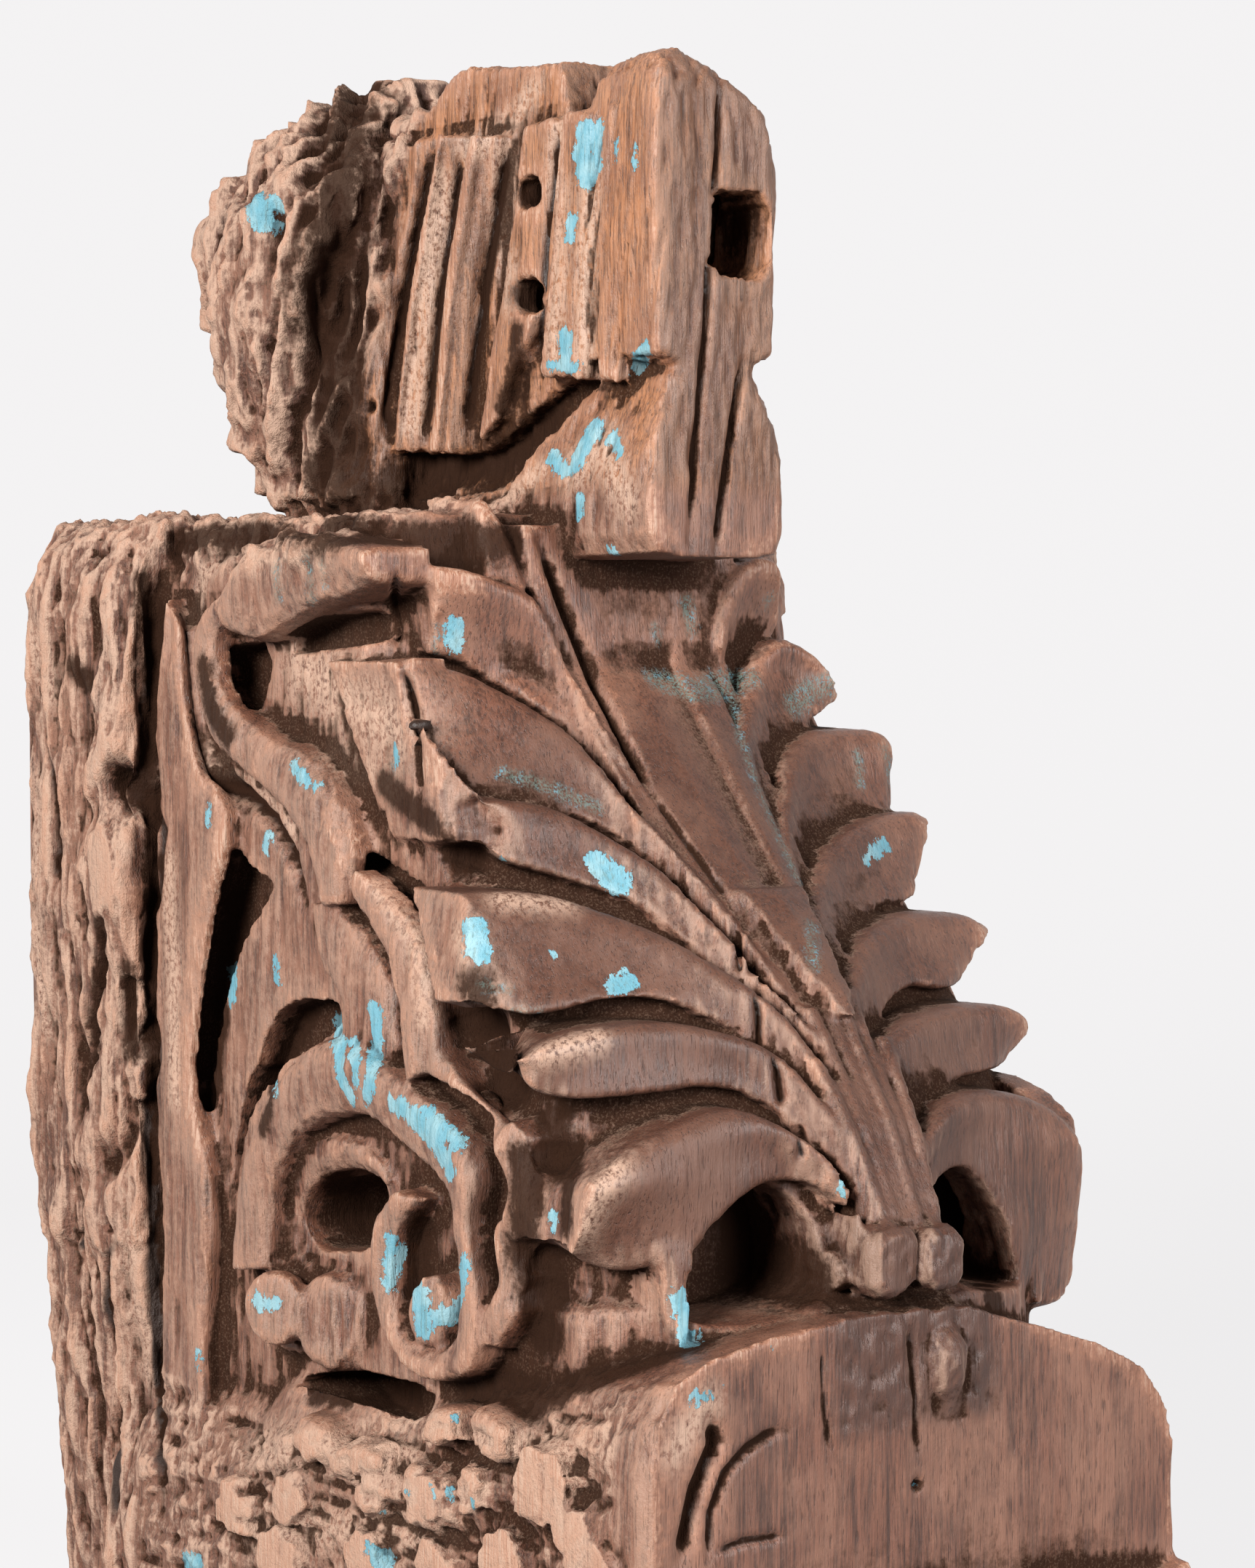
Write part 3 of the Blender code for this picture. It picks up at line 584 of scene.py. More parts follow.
# Carved bands of a side, traced on the left: two edges, height over the panel, section and count of steps
SIDE_BANDS = (
    ("s_band",
     seen("middle", (520, 285), (470, 345), (450, 400), (448, 460), (470, 560), (490, 640), (560, 715),
          (640, 790), (700, 860), (735, 950), (757, 1040)),
     seen("middle", (560, 330), (520, 370), (507, 400), (506, 440), (535, 545), (620, 625), (720, 680),
          (785, 770), (818, 860), (835, 930), (812, 1040)), 10.0),
    ("stile",
     seen("whole", (207, 760), (196, 921), (193, 1080), (194, 1240), (194, 1389), (203, 1562), (203, 1721),
          (199, 1881), (197, 2020), (197, 2200)),
     seen("whole", (232, 800), (247, 942), (284, 1050), (266, 1160), (247, 1293), (243, 1389), (262, 1500),
          (262, 1620), (257, 1700), (260, 1870), (264, 2020), (264, 2200)), 7.0, FLAT_BAND),
    ("leaf",
     seen("middle", (470, 690), (530, 775), (555, 870), (600, 950), (643, 985), (600, 1080), (555, 1160),
          (525, 1260), (508, 1370), (500, 1480)) + seen("low", (502, 150), (506, 300), (520, 480)),
     seen("middle", (520, 700), (625, 780), (690, 870), (715, 950), (730, 1030), (735, 1100), (720, 1180),
          (680, 1270), (625, 1330), (595, 1440)) + seen("low", (575, 120), (553, 300), (548, 480)),
     6.0, FLAT_BAND),
    ("crown_leaf",
     seen("middle", (738, 1035), (742, 1130), (760, 1200), (800, 1270), (795, 1370))
     + seen("low", (790, 60), (805, 140), (850, 200)),
     seen("middle", (795, 1040), (860, 1110), (910, 1200), (928, 1300), (938, 1400))
     + seen("low", (932, 60), (925, 150), (905, 205)), 8.0),
    ("second_band",
     seen("middle", (842, 955), (822, 1005), (865, 1075), (915, 1170), (938, 1280), (950, 1400),
          (958, 1470)),
     seen("middle", (872, 972), (925, 1025), (980, 1110), (1010, 1200), (1034, 1300), (1034, 1390),
          (1010, 1440)), 11.5),
    ("inner_arch",
     seen("low", (618, 640), (628, 500), (652, 400), (715, 318), (800, 285), (885, 325), (935, 395)),
     seen("low", (722, 620), (715, 510), (733, 425), (785, 372), (850, 360), (895, 378), (918, 408)), 3.0),
    ("arch",
     seen("low", (540, 610), (548, 490), (560, 375), (598, 250), (650, 150), (720, 72), (800, 52),
          (905, 115), (1000, 185), (1085, 270), (1128, 370), (1122, 450), (1116, 500), (1132, 570),
          (1142, 680), (1150, 790), (1118, 862), (1050, 884), (980, 862), (920, 792), (885, 680), (873, 560),
          (890, 480), (935, 415)),
     seen("low", (622, 610), (630, 490), (652, 375), (695, 295), (755, 255), (845, 242), (925, 300),
          (975, 345), (1020, 385), (1052, 430), (1066, 480), (1072, 540), (1080, 600), (1082, 650),
          (1078, 720), (1068, 770), (1040, 800), (1005, 802), (962, 772), (938, 700), (930, 610),
          (938, 540), (965, 480), (985, 440)), 11.0, ROUND_BAND, 90),
    ("tongue",
     seen("low", (1006, 628), (972, 672), (964, 725), (985, 778)),
     seen("low", (1032, 622), (1056, 662), (1060, 725), (1046, 790)), 9.5),
    ("outer_band",
     seen("low", (972, 118), (1050, 160), (1112, 205), (1150, 262), (1168, 330), (1190, 400), (1194, 465),
          (1168, 505), (1164, 560), (1175, 640), (1155, 700), (1162, 770)),
     seen("low", (1050, 78), (1102, 140), (1180, 200), (1240, 270), (1262, 340), (1292, 400), (1272, 490),
          (1236, 525), (1232, 570), (1252, 640), (1222, 740), (1172, 808)), 9.5),
)
# Bands that only the left side has
LEFT_BANDS = (
    ("top_knob",
     seen("middle", (512, 320), (545, 210), (610, 165), (700, 150), (780, 150), (870, 180)),
     seen("middle", (528, 385), (585, 408), (645, 378), (720, 335), (800, 305), (870, 262)),
     13.0),
    ("end_face",
     seen("middle", (618, 470), (640, 600), (700, 655), (780, 745)),
     seen("middle", (985, 445), (1000, 600), (1005, 740), (1000, 860)), 3.0, RISING_BAND),
)


def side_carving(side):
    """Bands, leaves, arch, scroll, bosses and beads over one side panel, plainer on the right."""
    made = [strip(name, side, *band) for name, *band in SIDE_BANDS + (LEFT_BANDS if side < 0 else ())]
    if side > 0:
        made.append(ribbon("dome", side, ((240, 6), (254, 7), (270, 6), (281, 3)), (14, 22, 18, 10),
                           height=5.0))
    boss_s, boss_z = on_side(seen("low", (640, 700))[0], 87)
    made.append(roll("boss", (side * 56, boss_s - 8, boss_z - 1), (side * 87, boss_s + 2, boss_z),
                     ((0.0, 18.0), (0.3, 17.5), (0.5, 15.5), (0.68, 12.5), (0.72, 8.6), (0.8, 8.6),
                      (0.82, 10.0), (0.86, 10.4), (0.97, 10.2), (1.0, 8.8))))
    start, end = (side * 58, boss_s + 12, boss_z - 3), (side * 79.5, boss_s + 20, boss_z - 2)
    made.append(roll("boss_roll", start, end, ((0.0, 14.0), (0.82, 13.6), (0.92, 12.6), (1.0, 10.5))))
    if side < 0:
        made += [chunk(f"chunk_{k}", side, view, pixel, radii, 0.5 * math.sin(7.0 * k))
                 for k, (view, pixel, radii) in enumerate(BEADS)]
    return made


# Beads and stubs of the rotted moulding at the foot of the side: where, and the radii along x, s and z
BEADS = (
    ("low", (1050, 1150), (6, 13, 8)), ("low", (1150, 1135), (5, 8, 7)), ("low", (920, 1140), (5, 9, 6)),
    ("low", (1330, 1115), (7, 14, 10)), ("low", (1075, 985), (5, 9, 6)), ("low", (1200, 1000), (5, 11, 6)),
    ("low", (905, 1300), (6, 9, 8)), ("low", (590, 1175), (6, 9, 8)), ("low", (780, 1020), (4, 12, 6)),
    ("low", (880, 1060), (4, 14, 4)), ("low", (720, 1150), (5, 9, 7)),
    ("low", (1230, 1290), (6, 10, 7)), ("low", (1400, 1230), (6, 9, 6)), ("low", (700, 1290), (6, 12, 8)),
    ("low", (1080, 1330), (6, 12, 7)), ("low", (1450, 1330), (7, 12, 9)),
)

# Outlines of the pockets that are sunk into the side, as (view, points), and the half width of their floor
POCKETS = (
    (64.0, (("middle", ((545, 868), (590, 950), (650, 988), (600, 1070), (560, 1150), (525, 1260),
                        (503, 1370), (494, 1480))),
            ("low", ((498, 150), (500, 330), (484, 330), (472, 150))),
            ("middle", ((462, 1480), (474, 1300), (502, 1080), (530, 950))))),
    (63.0, (("middle", ((655, 1290), (705, 1268), (800, 1270), (805, 1330), (740, 1378), (670, 1412),
                        (640, 1470))),
            ("low", ((622, 170), (584, 240), (562, 330), (552, 460), (543, 460), (550, 330), (570, 200),
                     (600, 100))),
            ("middle", ((600, 1440), (625, 1350))))),
    (46.0, (("low", ((735, 420), (790, 372), (860, 366), (915, 400), (922, 440), (892, 490), (882, 565),
                     (745, 565), (718, 500))),)),
    (50.0, (("low", ((722, 862), (860, 852), (905, 870), (990, 885), (1040, 935), (1000, 985), (860, 1008),
                     (780, 965), (735, 905))),)),
    (64.0, (("middle", ((545, 420), (620, 400), (640, 460), (620, 560), (600, 600), (560, 560),
                        (530, 480))),)),
    (66.0, (("middle", ((700, 370), (780, 345), (880, 330), (880, 410), (760, 430), (680, 440))),)),
    (66.0, (("middle", ((800, 780), (850, 860), (900, 930), (1000, 990), (1040, 1060), (1060, 1180),
                        (1050, 1300), (1040, 1290), (1010, 1150), (960, 1060), (900, 985), (850, 940))),)),
)


# Half width of the moulded front at each level, left and right, and how far back it reaches. Then the half
# widths of the middle behind it, where its flutes stand and where they start
TOP_LEFT = ((158, 16), (159, 21), (164, 23), (173, 23.5), (184, 22.5), (194, 19.5), (204, 16), (209, 14),
            (212, 20), (236, 21), (262, 21), (278, 20.5), (286, 19.5), (290, 17), (292, 12))
TOP_RIGHT = ((158, 16), (159, 21), (164, 23), (173, 23.5), (184, 22.5), (194, 19.5), (204, 14), (209, 12),
             (213, 19), (236, 20.5), (262, 20.5), (268, 19.5), (276, 16), (282, 9), (287, 1), (290, -6),
             (292, -9))
TOP_BACK = ((158, 140), (162, 150), (172, 156), (191, 176), (202, 190), (207, 196), (216, 192), (270, 193),
            (284, 198), (292, 205))
TOP_FOOT = 6.0
TOP_HALF = 15.0


def top_block():
    """Narrow block over the body: moulded front, with slanted flutes behind it."""
    rings = []
    for z in np.arange(TOP_LEFT[0][0], TOP_LEFT[-1][0] + 0.5, 1.0):
        left, right, back = (float(read(table, z)) for table in (TOP_LEFT, TOP_RIGHT, TOP_BACK))
        near = TOP_FRONT_S - 5.0 * max(0.0, (z - 280) / 12) ** 2
        rings.append([(-left, back, z), (-left, near - 3, z), (-left + 0.8, near - 0.8, z),
                      (-left + 2.5, near, z), (right - 2.5, near, z), (right, near - 3, z),
                      (right, back, z)])
    made = [loft("top_front", rings)]
    outline = TOP_UNDERSIDE + TOP_CREST
    made.append(loft("top_middle", [[(x, s, z) for s, z in outline] for x in (-15.5, -14, 14, 15.5)]))
    made.append(loft("top_core", [[(x, s, z) for s, z in TOP_CORE] for x in (-9, 9)]))
    for side in (-1, 1):
        for name, height, section, one, other in TOP_BANDS:
            made.append(strip(name, side, seen("top", *one), seen("top", *other), height, section, 30,
                              TOP_FOOT, TOP_HALF))
    return made


# Lower and upper outlines of the fluted middle in the side view (s, z), from the wall outwards and back
TOP_UNDERSIDE = ((204, 209), (188, 208), (176, 206), (163, 200), (150, 193), (140, 189.5), (117, 190),
                 (96, 193))
TOP_CORE = ((84, 168), (84, 280), (200, 280), (200, 212), (150, 168))
TOP_CREST = ((92, 284), (104, 287), (112, 288), (117, 291), (123, 296), (132, 298), (146, 296), (163, 294.5),
             (176, 294))
# Section of a flute with a ridge along its outer edge, and the traced bands of the top block: height over the
# half width of the block's middle, section and two edges
BAND_RIDGE = ((0, 0), (0, 0.5), (0.08, 0.8), (0.15, 1.0), (0.3, 1.0), (0.36, 0.86), (0.62, 0.76),
              (0.86, 0.5), (1, 0.18), (1, 0))
TOP_BANDS = (
    ("flute_0", 5.0, ROUND_BAND, ((858, 960), (868, 800), (882, 640), (893, 480), (905, 350)),
     ((915, 990), (935, 800), (968, 640), (1000, 480), (1030, 330))),
    ("flute_1", 8.0, BAND_RIDGE, ((922, 1082), (950, 860), (985, 640), (1012, 480), (1042, 320)),
     ((1014, 1085), (1038, 860), (1062, 640), (1085, 480), (1110, 330))),
    ("flute_2", 8.5, BAND_RIDGE, ((1019, 1084), (1043, 860), (1068, 640), (1092, 480), (1118, 330)),
     ((1090, 1076), (1122, 860), (1156, 640), (1180, 480), (1206, 310))),
    ("grey_plane", 5.0, FLAT_BAND, ((1142, 1062), (1172, 860), (1205, 640), (1226, 480), (1248, 300)),
     ((1195, 1000), (1225, 900), (1300, 760), (1330, 560), (1352, 280))),
    ("raised_plane", 7.5, FLAT_BAND, ((1292, 900), (1298, 780), (1312, 640), (1330, 480), (1345, 270)),
     ((1395, 905), (1400, 780), (1405, 640), (1412, 480), (1420, 270))),
    ("raised_ridge", 7.0, ROUND_BAND, ((1430, 910), (1428, 780), (1430, 640), (1438, 480), (1448, 260)),
     ((1480, 915), (1476, 780), (1480, 640), (1486, 480), (1492, 250))),
)


def neck():
    """Wood that carries the top block on the body."""
    rings = []
    for z, half, near, far in ((150, 50, 36, 186), (165, 46, 44, 184), (171, 26, 60, 172),
                               (180, 11, 76, 158), (206, 9, 80, 160)):
        rings.append([(half, near, z), (half * 0.9, far - 12, z), (half * 0.5, far, z),
                      (-half * 0.5, far, z), (-half * 0.9, far - 12, z), (-half, near, z)])
    return loft("neck", rings, 4)


def lump():
    """Rotted back end of the top block."""
    rings = []
    sides = 72
    for k, (z, mid, deep, half) in enumerate(smooth(((166, 82, 26, 26), (180, 73, 33, 32), (196, 66, 38, 38),
                                                     (214, 60, 40, 42), (234, 56, 42, 44), (254, 57, 43, 44),
                                                     (268, 59, 42, 40), (281, 62, 32, 33), (290, 66, 21, 24),
                                                     (297, 73, 12, 17), (302, 78, 5, 8)), 4)):
        ring = []
        for j in range(sides):
            turn = 2 * math.pi * j / sides
            rough = 1.0 + 0.05 * math.sin(5 * turn + 0.33 * k) + 0.035 * math.sin(9 * turn + 0.22 * k)
            side = math.copysign(abs(math.cos(turn)) ** 0.75, math.cos(turn))
            out = math.copysign(abs(math.sin(turn)) ** 0.75, math.sin(turn))
            rise = 1.8 * math.sin(3 * turn + 0.25 * k)
            ring.append((half * rough * side, mid + deep * rough * out, z + rise))
        rings.append(ring)
    return loft("lump", rings)


NAIL_HOLE = 11.5
NAIL_HOLE_DEPTH = 18.0
MORTISE_WIDTH = 21.0
MORTISE_HEIGHT = 24.0
MORTISE_DEPTH = 30.0


def square_hole(name, centre, along, size, depth):
    """Cutter for a square hole whose mouth is at a point of the surface, sunk along a direction."""
    into = Vector(along).normalized()
    turn = into.to_track_quat("Z", "Y").to_matrix()
    spare = 6.0
    rings = []
    for reach in (-spare, depth):
        rings.append([Vector(centre) + into * reach + turn @ Vector((size[0] * u / 2, size[1] * v / 2, 0.0))
                      for u, v in rounded(((-1, -1), (1, -1), (1, 1), (-1, 1)), 2)])
    return loft(name, rings)


def cutters():
    """Hollows, holes and grooves."""
    made = []
    for side in (-1, 1):
        arch = [(19, LEDGE_Z + 1), (58, LEDGE_Z - 3), (59, -20), (54, -9), (45, -2), (33, 1), (24, -3),
                (19, -12)]
        if side < 0:
            arch = [(x + 1, z) for x, z in arch]
        arch = rounded(arch, 3)
        made.append(loft("hollow", [[(side * x * spread, s, z) for x, z in arch]
                                    for s, spread in ((262, 0.97), (330, 1.0))]))
        for floor, outline in POCKETS:
            pixels = [pixel for view, points in outline for pixel in seen(view, *points)]
            for_top = rounded([on_side(pixel, PANEL_HALF + 2.0) for pixel in pixels], 3)
            made.append(loft("pocket", [[(side * x, s, z) for s, z in for_top] for x in (floor, 78.0)]))
    for s, z, size in ((168, 259, 0.92), (167, 231, 1.0)):
        made.append(square_hole("nail_hole", (-20, s, z), (1, 0, 0),
                                (NAIL_HOLE * size, NAIL_HOLE * 0.9 * size), NAIL_HOLE_DEPTH))
    made.append(square_hole("mortise", (7, TOP_FRONT_S, 244), (0, -1, 0), (MORTISE_WIDTH, MORTISE_HEIGHT),
                            MORTISE_DEPTH))
    return made


def boxes_meet(one, other, spare=0.5 * MM):
    """True if the boxes of two objects that aren't turned or moved overlap."""
    a, b = np.array(one.bound_box), np.array(other.bound_box)
    return bool(np.all(a.min(0) < b.max(0) + spare) and np.all(b.min(0) < a.max(0) + spare))


def cut_all(parts, cutting):
    """Take the cutters out of every part that they meet, and remove them."""
    for part in parts:
        for cutter in cutting:
            if boxes_meet(part, cutter):
                take = part.modifiers.new("cut", "BOOLEAN")
                take.operation = "DIFFERENCE"
                take.solver = "EXACT"
                take.object = cutter
    depsgraph = bpy.context.evaluated_depsgraph_get()
    for part in parts:
        if part.modifiers:
            mesh = bpy.data.meshes.new_from_object(part.evaluated_get(depsgraph))
            part.modifiers.clear()
            part.data = mesh
    for cutter in cutting:
        bpy.data.objects.remove(cutter)


def thinned(body, share):
    """Fewer triangles, taken mostly from flat surfaces."""
    thin = body.modifiers.new("thin", "DECIMATE")
    thin.ratio = share
    thin.use_collapse_triangulate = True
    fine = bpy.data.meshes.new_from_object(body.evaluated_get(bpy.context.evaluated_depsgraph_get()))
    body.modifiers.clear()
    body.data = fine


def joined(parts):
    """One closed mesh around all the parts, made by a voxel remesh."""
    bm = bmesh.new()
    for part in parts:
        bm.from_mesh(part.data)
        bpy.data.objects.remove(part)
    mesh = bpy.data.meshes.new("wood")
    bm.to_mesh(mesh)
    bm.free()
    body = bpy.data.objects.new("wood", mesh)
    bpy.context.scene.collection.objects.link(body)
    remesh = body.modifiers.new("join", "REMESH")
    remesh.mode = "VOXEL"
    remesh.voxel_size = VOXEL * MM
    fine = bpy.data.meshes.new_from_object(body.evaluated_get(bpy.context.evaluated_depsgraph_get()))
    body.modifiers.clear()
    body.data = fine
    return body


def traced(body, line, step=3.0):
    """Points on the wood, in metres, under a line of the picture, each with its share of the line."""
    eye = camera_axes()[0]
    line = [np.array(p, float) for p in line]
    if len(line) == 1:
        line = line * 2
    spans = [np.linalg.norm(b - a) for a, b in zip(line, line[1:])]
    total = max(sum(spans), 1e-6)
    out = []
    done = 0.0
    for a, b, span in zip(line, line[1:], spans):
        for k in range(max(1, int(span / step)) + 1):
            share = k / max(1, int(span / step))
            hit, place, _, _ = body.ray_cast(eye, sight(a + (b - a) * share))
            if hit:
                out.append((place, (done + span * share) / total))
        done += span
    return out


def hashed(ix, iy, iz, seed):
    """Whole numbers that look random, from the corners of a lattice."""
    h = (ix * 73856093) ^ (iy * 19349663) ^ (iz * 83492791) ^ (seed * 2654435761)
    h = (h ^ (h >> 13)) * 1274126177
    h &= 0xFFFFFFFF
    return h ^ (h >> 15)


def noise(points, size, seed):
    """Smooth gradient noise, about -1 to 1, whose features have the given size along x, s and z."""
    q = points / np.array(size, float) + 37.3 * seed
    cell = np.floor(q).astype(np.int64)
    f = q - cell
    ease = f * f * f * (f * (f * 6 - 15) + 10)
    total = np.zeros(len(q))
    for dx in (0, 1):
        wx = ease[:, 0] if dx else 1 - ease[:, 0]
        for dy in (0, 1):
            wy = wx * (ease[:, 1] if dy else 1 - ease[:, 1])
            for dz in (0, 1):
                h = hashed(cell[:, 0] + dx, cell[:, 1] + dy, cell[:, 2] + dz, seed)
                slope = ((h & 1023) / 511.5 - 1) * (f[:, 0] - dx)
                slope += (((h >> 10) & 1023) / 511.5 - 1) * (f[:, 1] - dy)
                slope += (((h >> 20) & 1023) / 511.5 - 1) * (f[:, 2] - dz)
                total += wy * (ease[:, 2] if dz else 1 - ease[:, 2]) * slope
    return total * 1.7


def ridged(points, size, seed):
    """Noise with sharp crests and round hollows, about -1 to 1."""
    return 1.0 - 2.6 * np.abs(noise(points, size, seed))


def step(low, high, value):
    """Smooth rise from 0 to 1 between two values, or a fall if low is above high."""
    t = np.clip((value - low) / (high - low), 0, 1)
    return t * t * (3 - 2 * t)


class Surface:
    """Vertices of the joined wood as numbers, in millimetres (x, s, z)."""

    def __init__(self, body):
        self.body = body
        mesh = body.data
        count = len(mesh.vertices)
        co = np.empty(count * 3)
        mesh.vertices.foreach_get("co", co)
        self.p = co.reshape(-1, 3) * (1000.0, -1000.0, 1000.0)
        edges = np.empty(len(mesh.edges) * 2, np.int32)
        mesh.edges.foreach_get("vertices", edges)
        self.a, self.b = edges.reshape(-1, 2).T
        self.degree = np.maximum(np.bincount(self.a, minlength=count) + np.bincount(self.b, minlength=count),
                                 1)

    def average(self, values, rounds=1, share=1.0):
        """Values after each vertex moves part of the way to its neighbours' mean, a few times over."""
        values = np.array(values, float)
        columns = values.reshape(len(values), -1)
        count = len(columns)
        for _ in range(rounds):
            for c in range(columns.shape[1]):
                column = columns[:, c]
                total = np.bincount(self.a, column[self.b], count)
                total = total + np.bincount(self.b, column[self.a], count)
                columns[:, c] = column + share * (total / self.degree - column)
        return columns.reshape(values.shape)

    def write(self):
        """Puts the points back into the mesh."""
        self.body.data.vertices.foreach_set("co", (self.p * (MM, -MM, MM)).ravel())
        self.body.data.update()

    def normals(self):
        """Normal at each vertex, in (x, s, z)."""
        self.write()
        flat = np.empty(len(self.p) * 3)
        self.body.data.vertex_normals.foreach_get("vector", flat)
        return flat.reshape(-1, 3) * (1, -1, 1)


def near_lines(tree, count, lines, reach):
    """Distance in millimetres from each vertex to the nearest point of the traced lines, up to a reach."""
    far = np.full(count, np.inf)
    share = np.zeros(count)
    for place, along in lines:
        for _, index, distance in tree.find_range(place, reach * MM):
            if distance * 1000 < far[index]:
                far[index] = distance * 1000
                share[index] = along
    return far, share


# Grooves and cracks, traced on the picture: half width and depth in millimetres, then the line
GROOVES = {
    "crack_left_of_leaf": (1.3, 5.0, ((690, 690), (722, 780), (760, 872), (800, 950), (832, 1012))),
    "crack_under_leaf": (0.8, 1.8, ((832, 1012), (880, 1080), (930, 1150))),
    "crack_lobe_a": (0.9, 3.5, ((505, 735), (503, 780), (508, 822))),
    "crack_lobe_b": (1.2, 4.5, ((512, 848), (522, 885), (532, 925), (530, 975), (534, 1015))),
    "crack_lobe_d": (0.7, 2.5, ((940, 1185), (942, 1235))),
    "crack_lobe_e": (0.9, 3.0, ((966, 1268), (968, 1330))),
    "crack_lobe_f": (0.9, 3.0, ((990, 1348), (995, 1402))),
    "crack_lobe_f_low": (0.6, 2.0, ((1020, 1440), (1022, 1475))),
    "crack_front_top": (1.0, 3.5, ((922, 80), (915, 200), (905, 350), (893, 520), (880, 690))),
    "crack_front_low": (1.1, 4.0, ((948, 462), (930, 580), (914, 703))),
    "crack_block_left": (0.7, 2.5, ((1160, 1690), (1165, 1760), (1170, 1850))),
    "crack_block_fine": (0.5, 1.5, ((1048, 1720), (1052, 1790), (1060, 1850))),
    "lump_valley": (12.0, 7.0, ((450, 115), (432, 180), (422, 300), (414, 420), (418, 540), (440, 640))),
    "recess_beside_f": (10.0, 4.5, ((690, 1440), (698, 1500), (694, 1600), (700, 1680))),
    "flute_gap_0": (1.3, 3.0, ((490, 575), (505, 457), (523, 340), (538, 255), (553, 178))),
    "flute_gap_1": (1.1, 2.6, ((541, 577), (553, 457), (566, 340), (579, 255), (591, 182))),
    "flute_gap_2": (1.5, 3.0, ((594, 570), (606, 457), (622, 340), (636, 255), (650, 172))),
    "plane_gap": (1.0, 2.0, ((690, 480), (690, 400), (696, 300), (712, 150))),
    "recess_beside_e": (6.0, 6.0, ((585, 1275), (628, 1325), (640, 1400), (655, 1430))),
    "recess_under_leaf": (4.5, 4.0, ((600, 1010), (625, 1060), (590, 1110))),
    "stile_edge": (2.4, 2.0, ((205, 745), (195, 830), (190, 900), (187, 1000), (205, 1060), (197, 1200),
                              (200, 1350), (195, 1450), (197, 1600), (202, 1750), (203, 1990))),
    "post_slot": (1.9, 7.0, ((132, 1172), (125, 1230), (118, 1300), (108, 1395))),
    "post_hollow": (4.0, 4.0, ((165, 1240), (163, 1290), (166, 1340))),
    "post_low_hollow": (4.5, 4.0, ((172, 1395), (165, 1440), (150, 1470), (125, 1500))),
    "post_left_furrow": (1.8, 3.0, ((56, 931), (69, 995), (74, 1080), (69, 1130))),
    "post_low_crack": (1.5, 3.0, ((98, 1519), (106, 1560), (104, 1600))),
    "post_low_furrow": (2.2, 3.0, ((150, 1560), (140, 1680), (150, 1800), (145, 1960))),
    "arc_groove": (1.0, 2.0, ((905, 1990), (908, 1930), (925, 1880), (955, 1845), (985, 1828),
                              (1003, 1822))),
    "arc_line": (0.8, 1.6, ((915, 1980), (950, 1965), (1000, 1960))),
    "arris_groove": (1.8, 4.0, ((870, 1990), (890, 1900), (915, 1840), (905, 1810))),
    "s_band_left": (1.8, 5.0, ((243, 765), (237, 830), (240, 890), (262, 975), (310, 1010), (350, 1050),
                               (375, 1100), (390, 1150))),
}
PITS = {
    "post_knot_hole": (5.0, 9.0, ((152, 1000), (165, 1015))),
    "post_hole_low": (2.5, 5.0, ((104, 1530),)),
    "worm_hole": (0.9, 5.0, ((1170, 1893),)),
    "flute_hole": (1.3, 5.0, ((470, 516),)),
}
KNOBS = {
    "post_knob": (8.0, 4.5, ((135, 1090), (140, 1130))),
    "post_ridge": (5.0, 3.0, ((135, 960), (118, 1000))),
    "post_low_knob": (5.0, 3.5, ((118, 1440), (112, 1470))),
}


def carve(surface, normals):
    """Cuts the traced lines. Returns a tree of the vertices, and how deep in a crack each is, from 0 to 1."""
    tree = KDTree(len(surface.p))
    for index, place in enumerate(surface.p * (MM, -MM, MM)):
        tree.insert(place, index)
    tree.balance()
    count = len(surface.p)
    shift = np.zeros(count)
    crack = np.zeros(count)
    for table, sign in ((GROOVES, -1.0), (PITS, -1.0), (KNOBS, 1.0)):
        for half, depth, line in table.values():
            far, share = near_lines(tree, count, traced(surface.body, line), 2.6 * half)
            taper = 1.0 if len(line) < 3 else np.clip(np.minimum(share, 1 - share) / 0.12, 0.25, 1)
            amount = np.exp(-(far / (half * 1.15)) ** 2) * taper
            shift += sign * depth * amount
            if sign < 0 and half < 3.0:
                crack = np.maximum(crack, amount)
    surface.p += normals * shift[:, None]
    return tree, crack


def regions(p, n):
    """Share of each kind of surface at each vertex."""
    x, s, z = p.T
    lean = s - TOP_LEAN * (z - TOP_MIDDLE_Z)
    top = step(172, 182, z)
    lump_share = top * step(104, 92, lean)
    post_share = step(67, 60, s) * step(180, 170, z)
    crown = step(150, 163, z) * step(184, 176, z) * step(176, 160, s)
    flank = step(0.3, 0.7, np.abs(n[:, 0]))
    rotten_from = read(((60, -70), (90, -77), (117, -80), (160, -74), (219, -59), (251, -58), (290, -46)), s)
    ledge = step(1, -5, z - rotten_from) * step(300, 290, s) * step(60, 70, s) * step(58, 70, np.abs(x))
    knot_share = step(30, 22, np.abs(x + 4)) * step(-4, -10, z) * step(-64, -56, z) * step(276, 284, s)
    facing = step(0.35, 0.8, n[:, 1])
    # Darker wood on the palmette and the knot, and painted shade on the front faces of the palmette and the
    # top block
    dark_wood_and_shade = 0.55 * step(195, 215, s) * step(-34, -26, z) * step(165, 155, z) * step(0.9, 0.6, np.abs(n[:, 0]))
    dark_wood_and_shade = np.maximum(np.maximum(dark_wood_and_shade * step(78, 30, x), top * facing * 0.6), 0.7 * knot_share)
    return {"dark_wood_and_shade": dark_wood_and_shade, "lump": lump_share, "post": post_share, "crown": crown * (1 - post_share),
            "top": top * (1 - lump_share), "ledge": ledge * (1 - post_share),
            "flank": flank, "knot": knot_share}


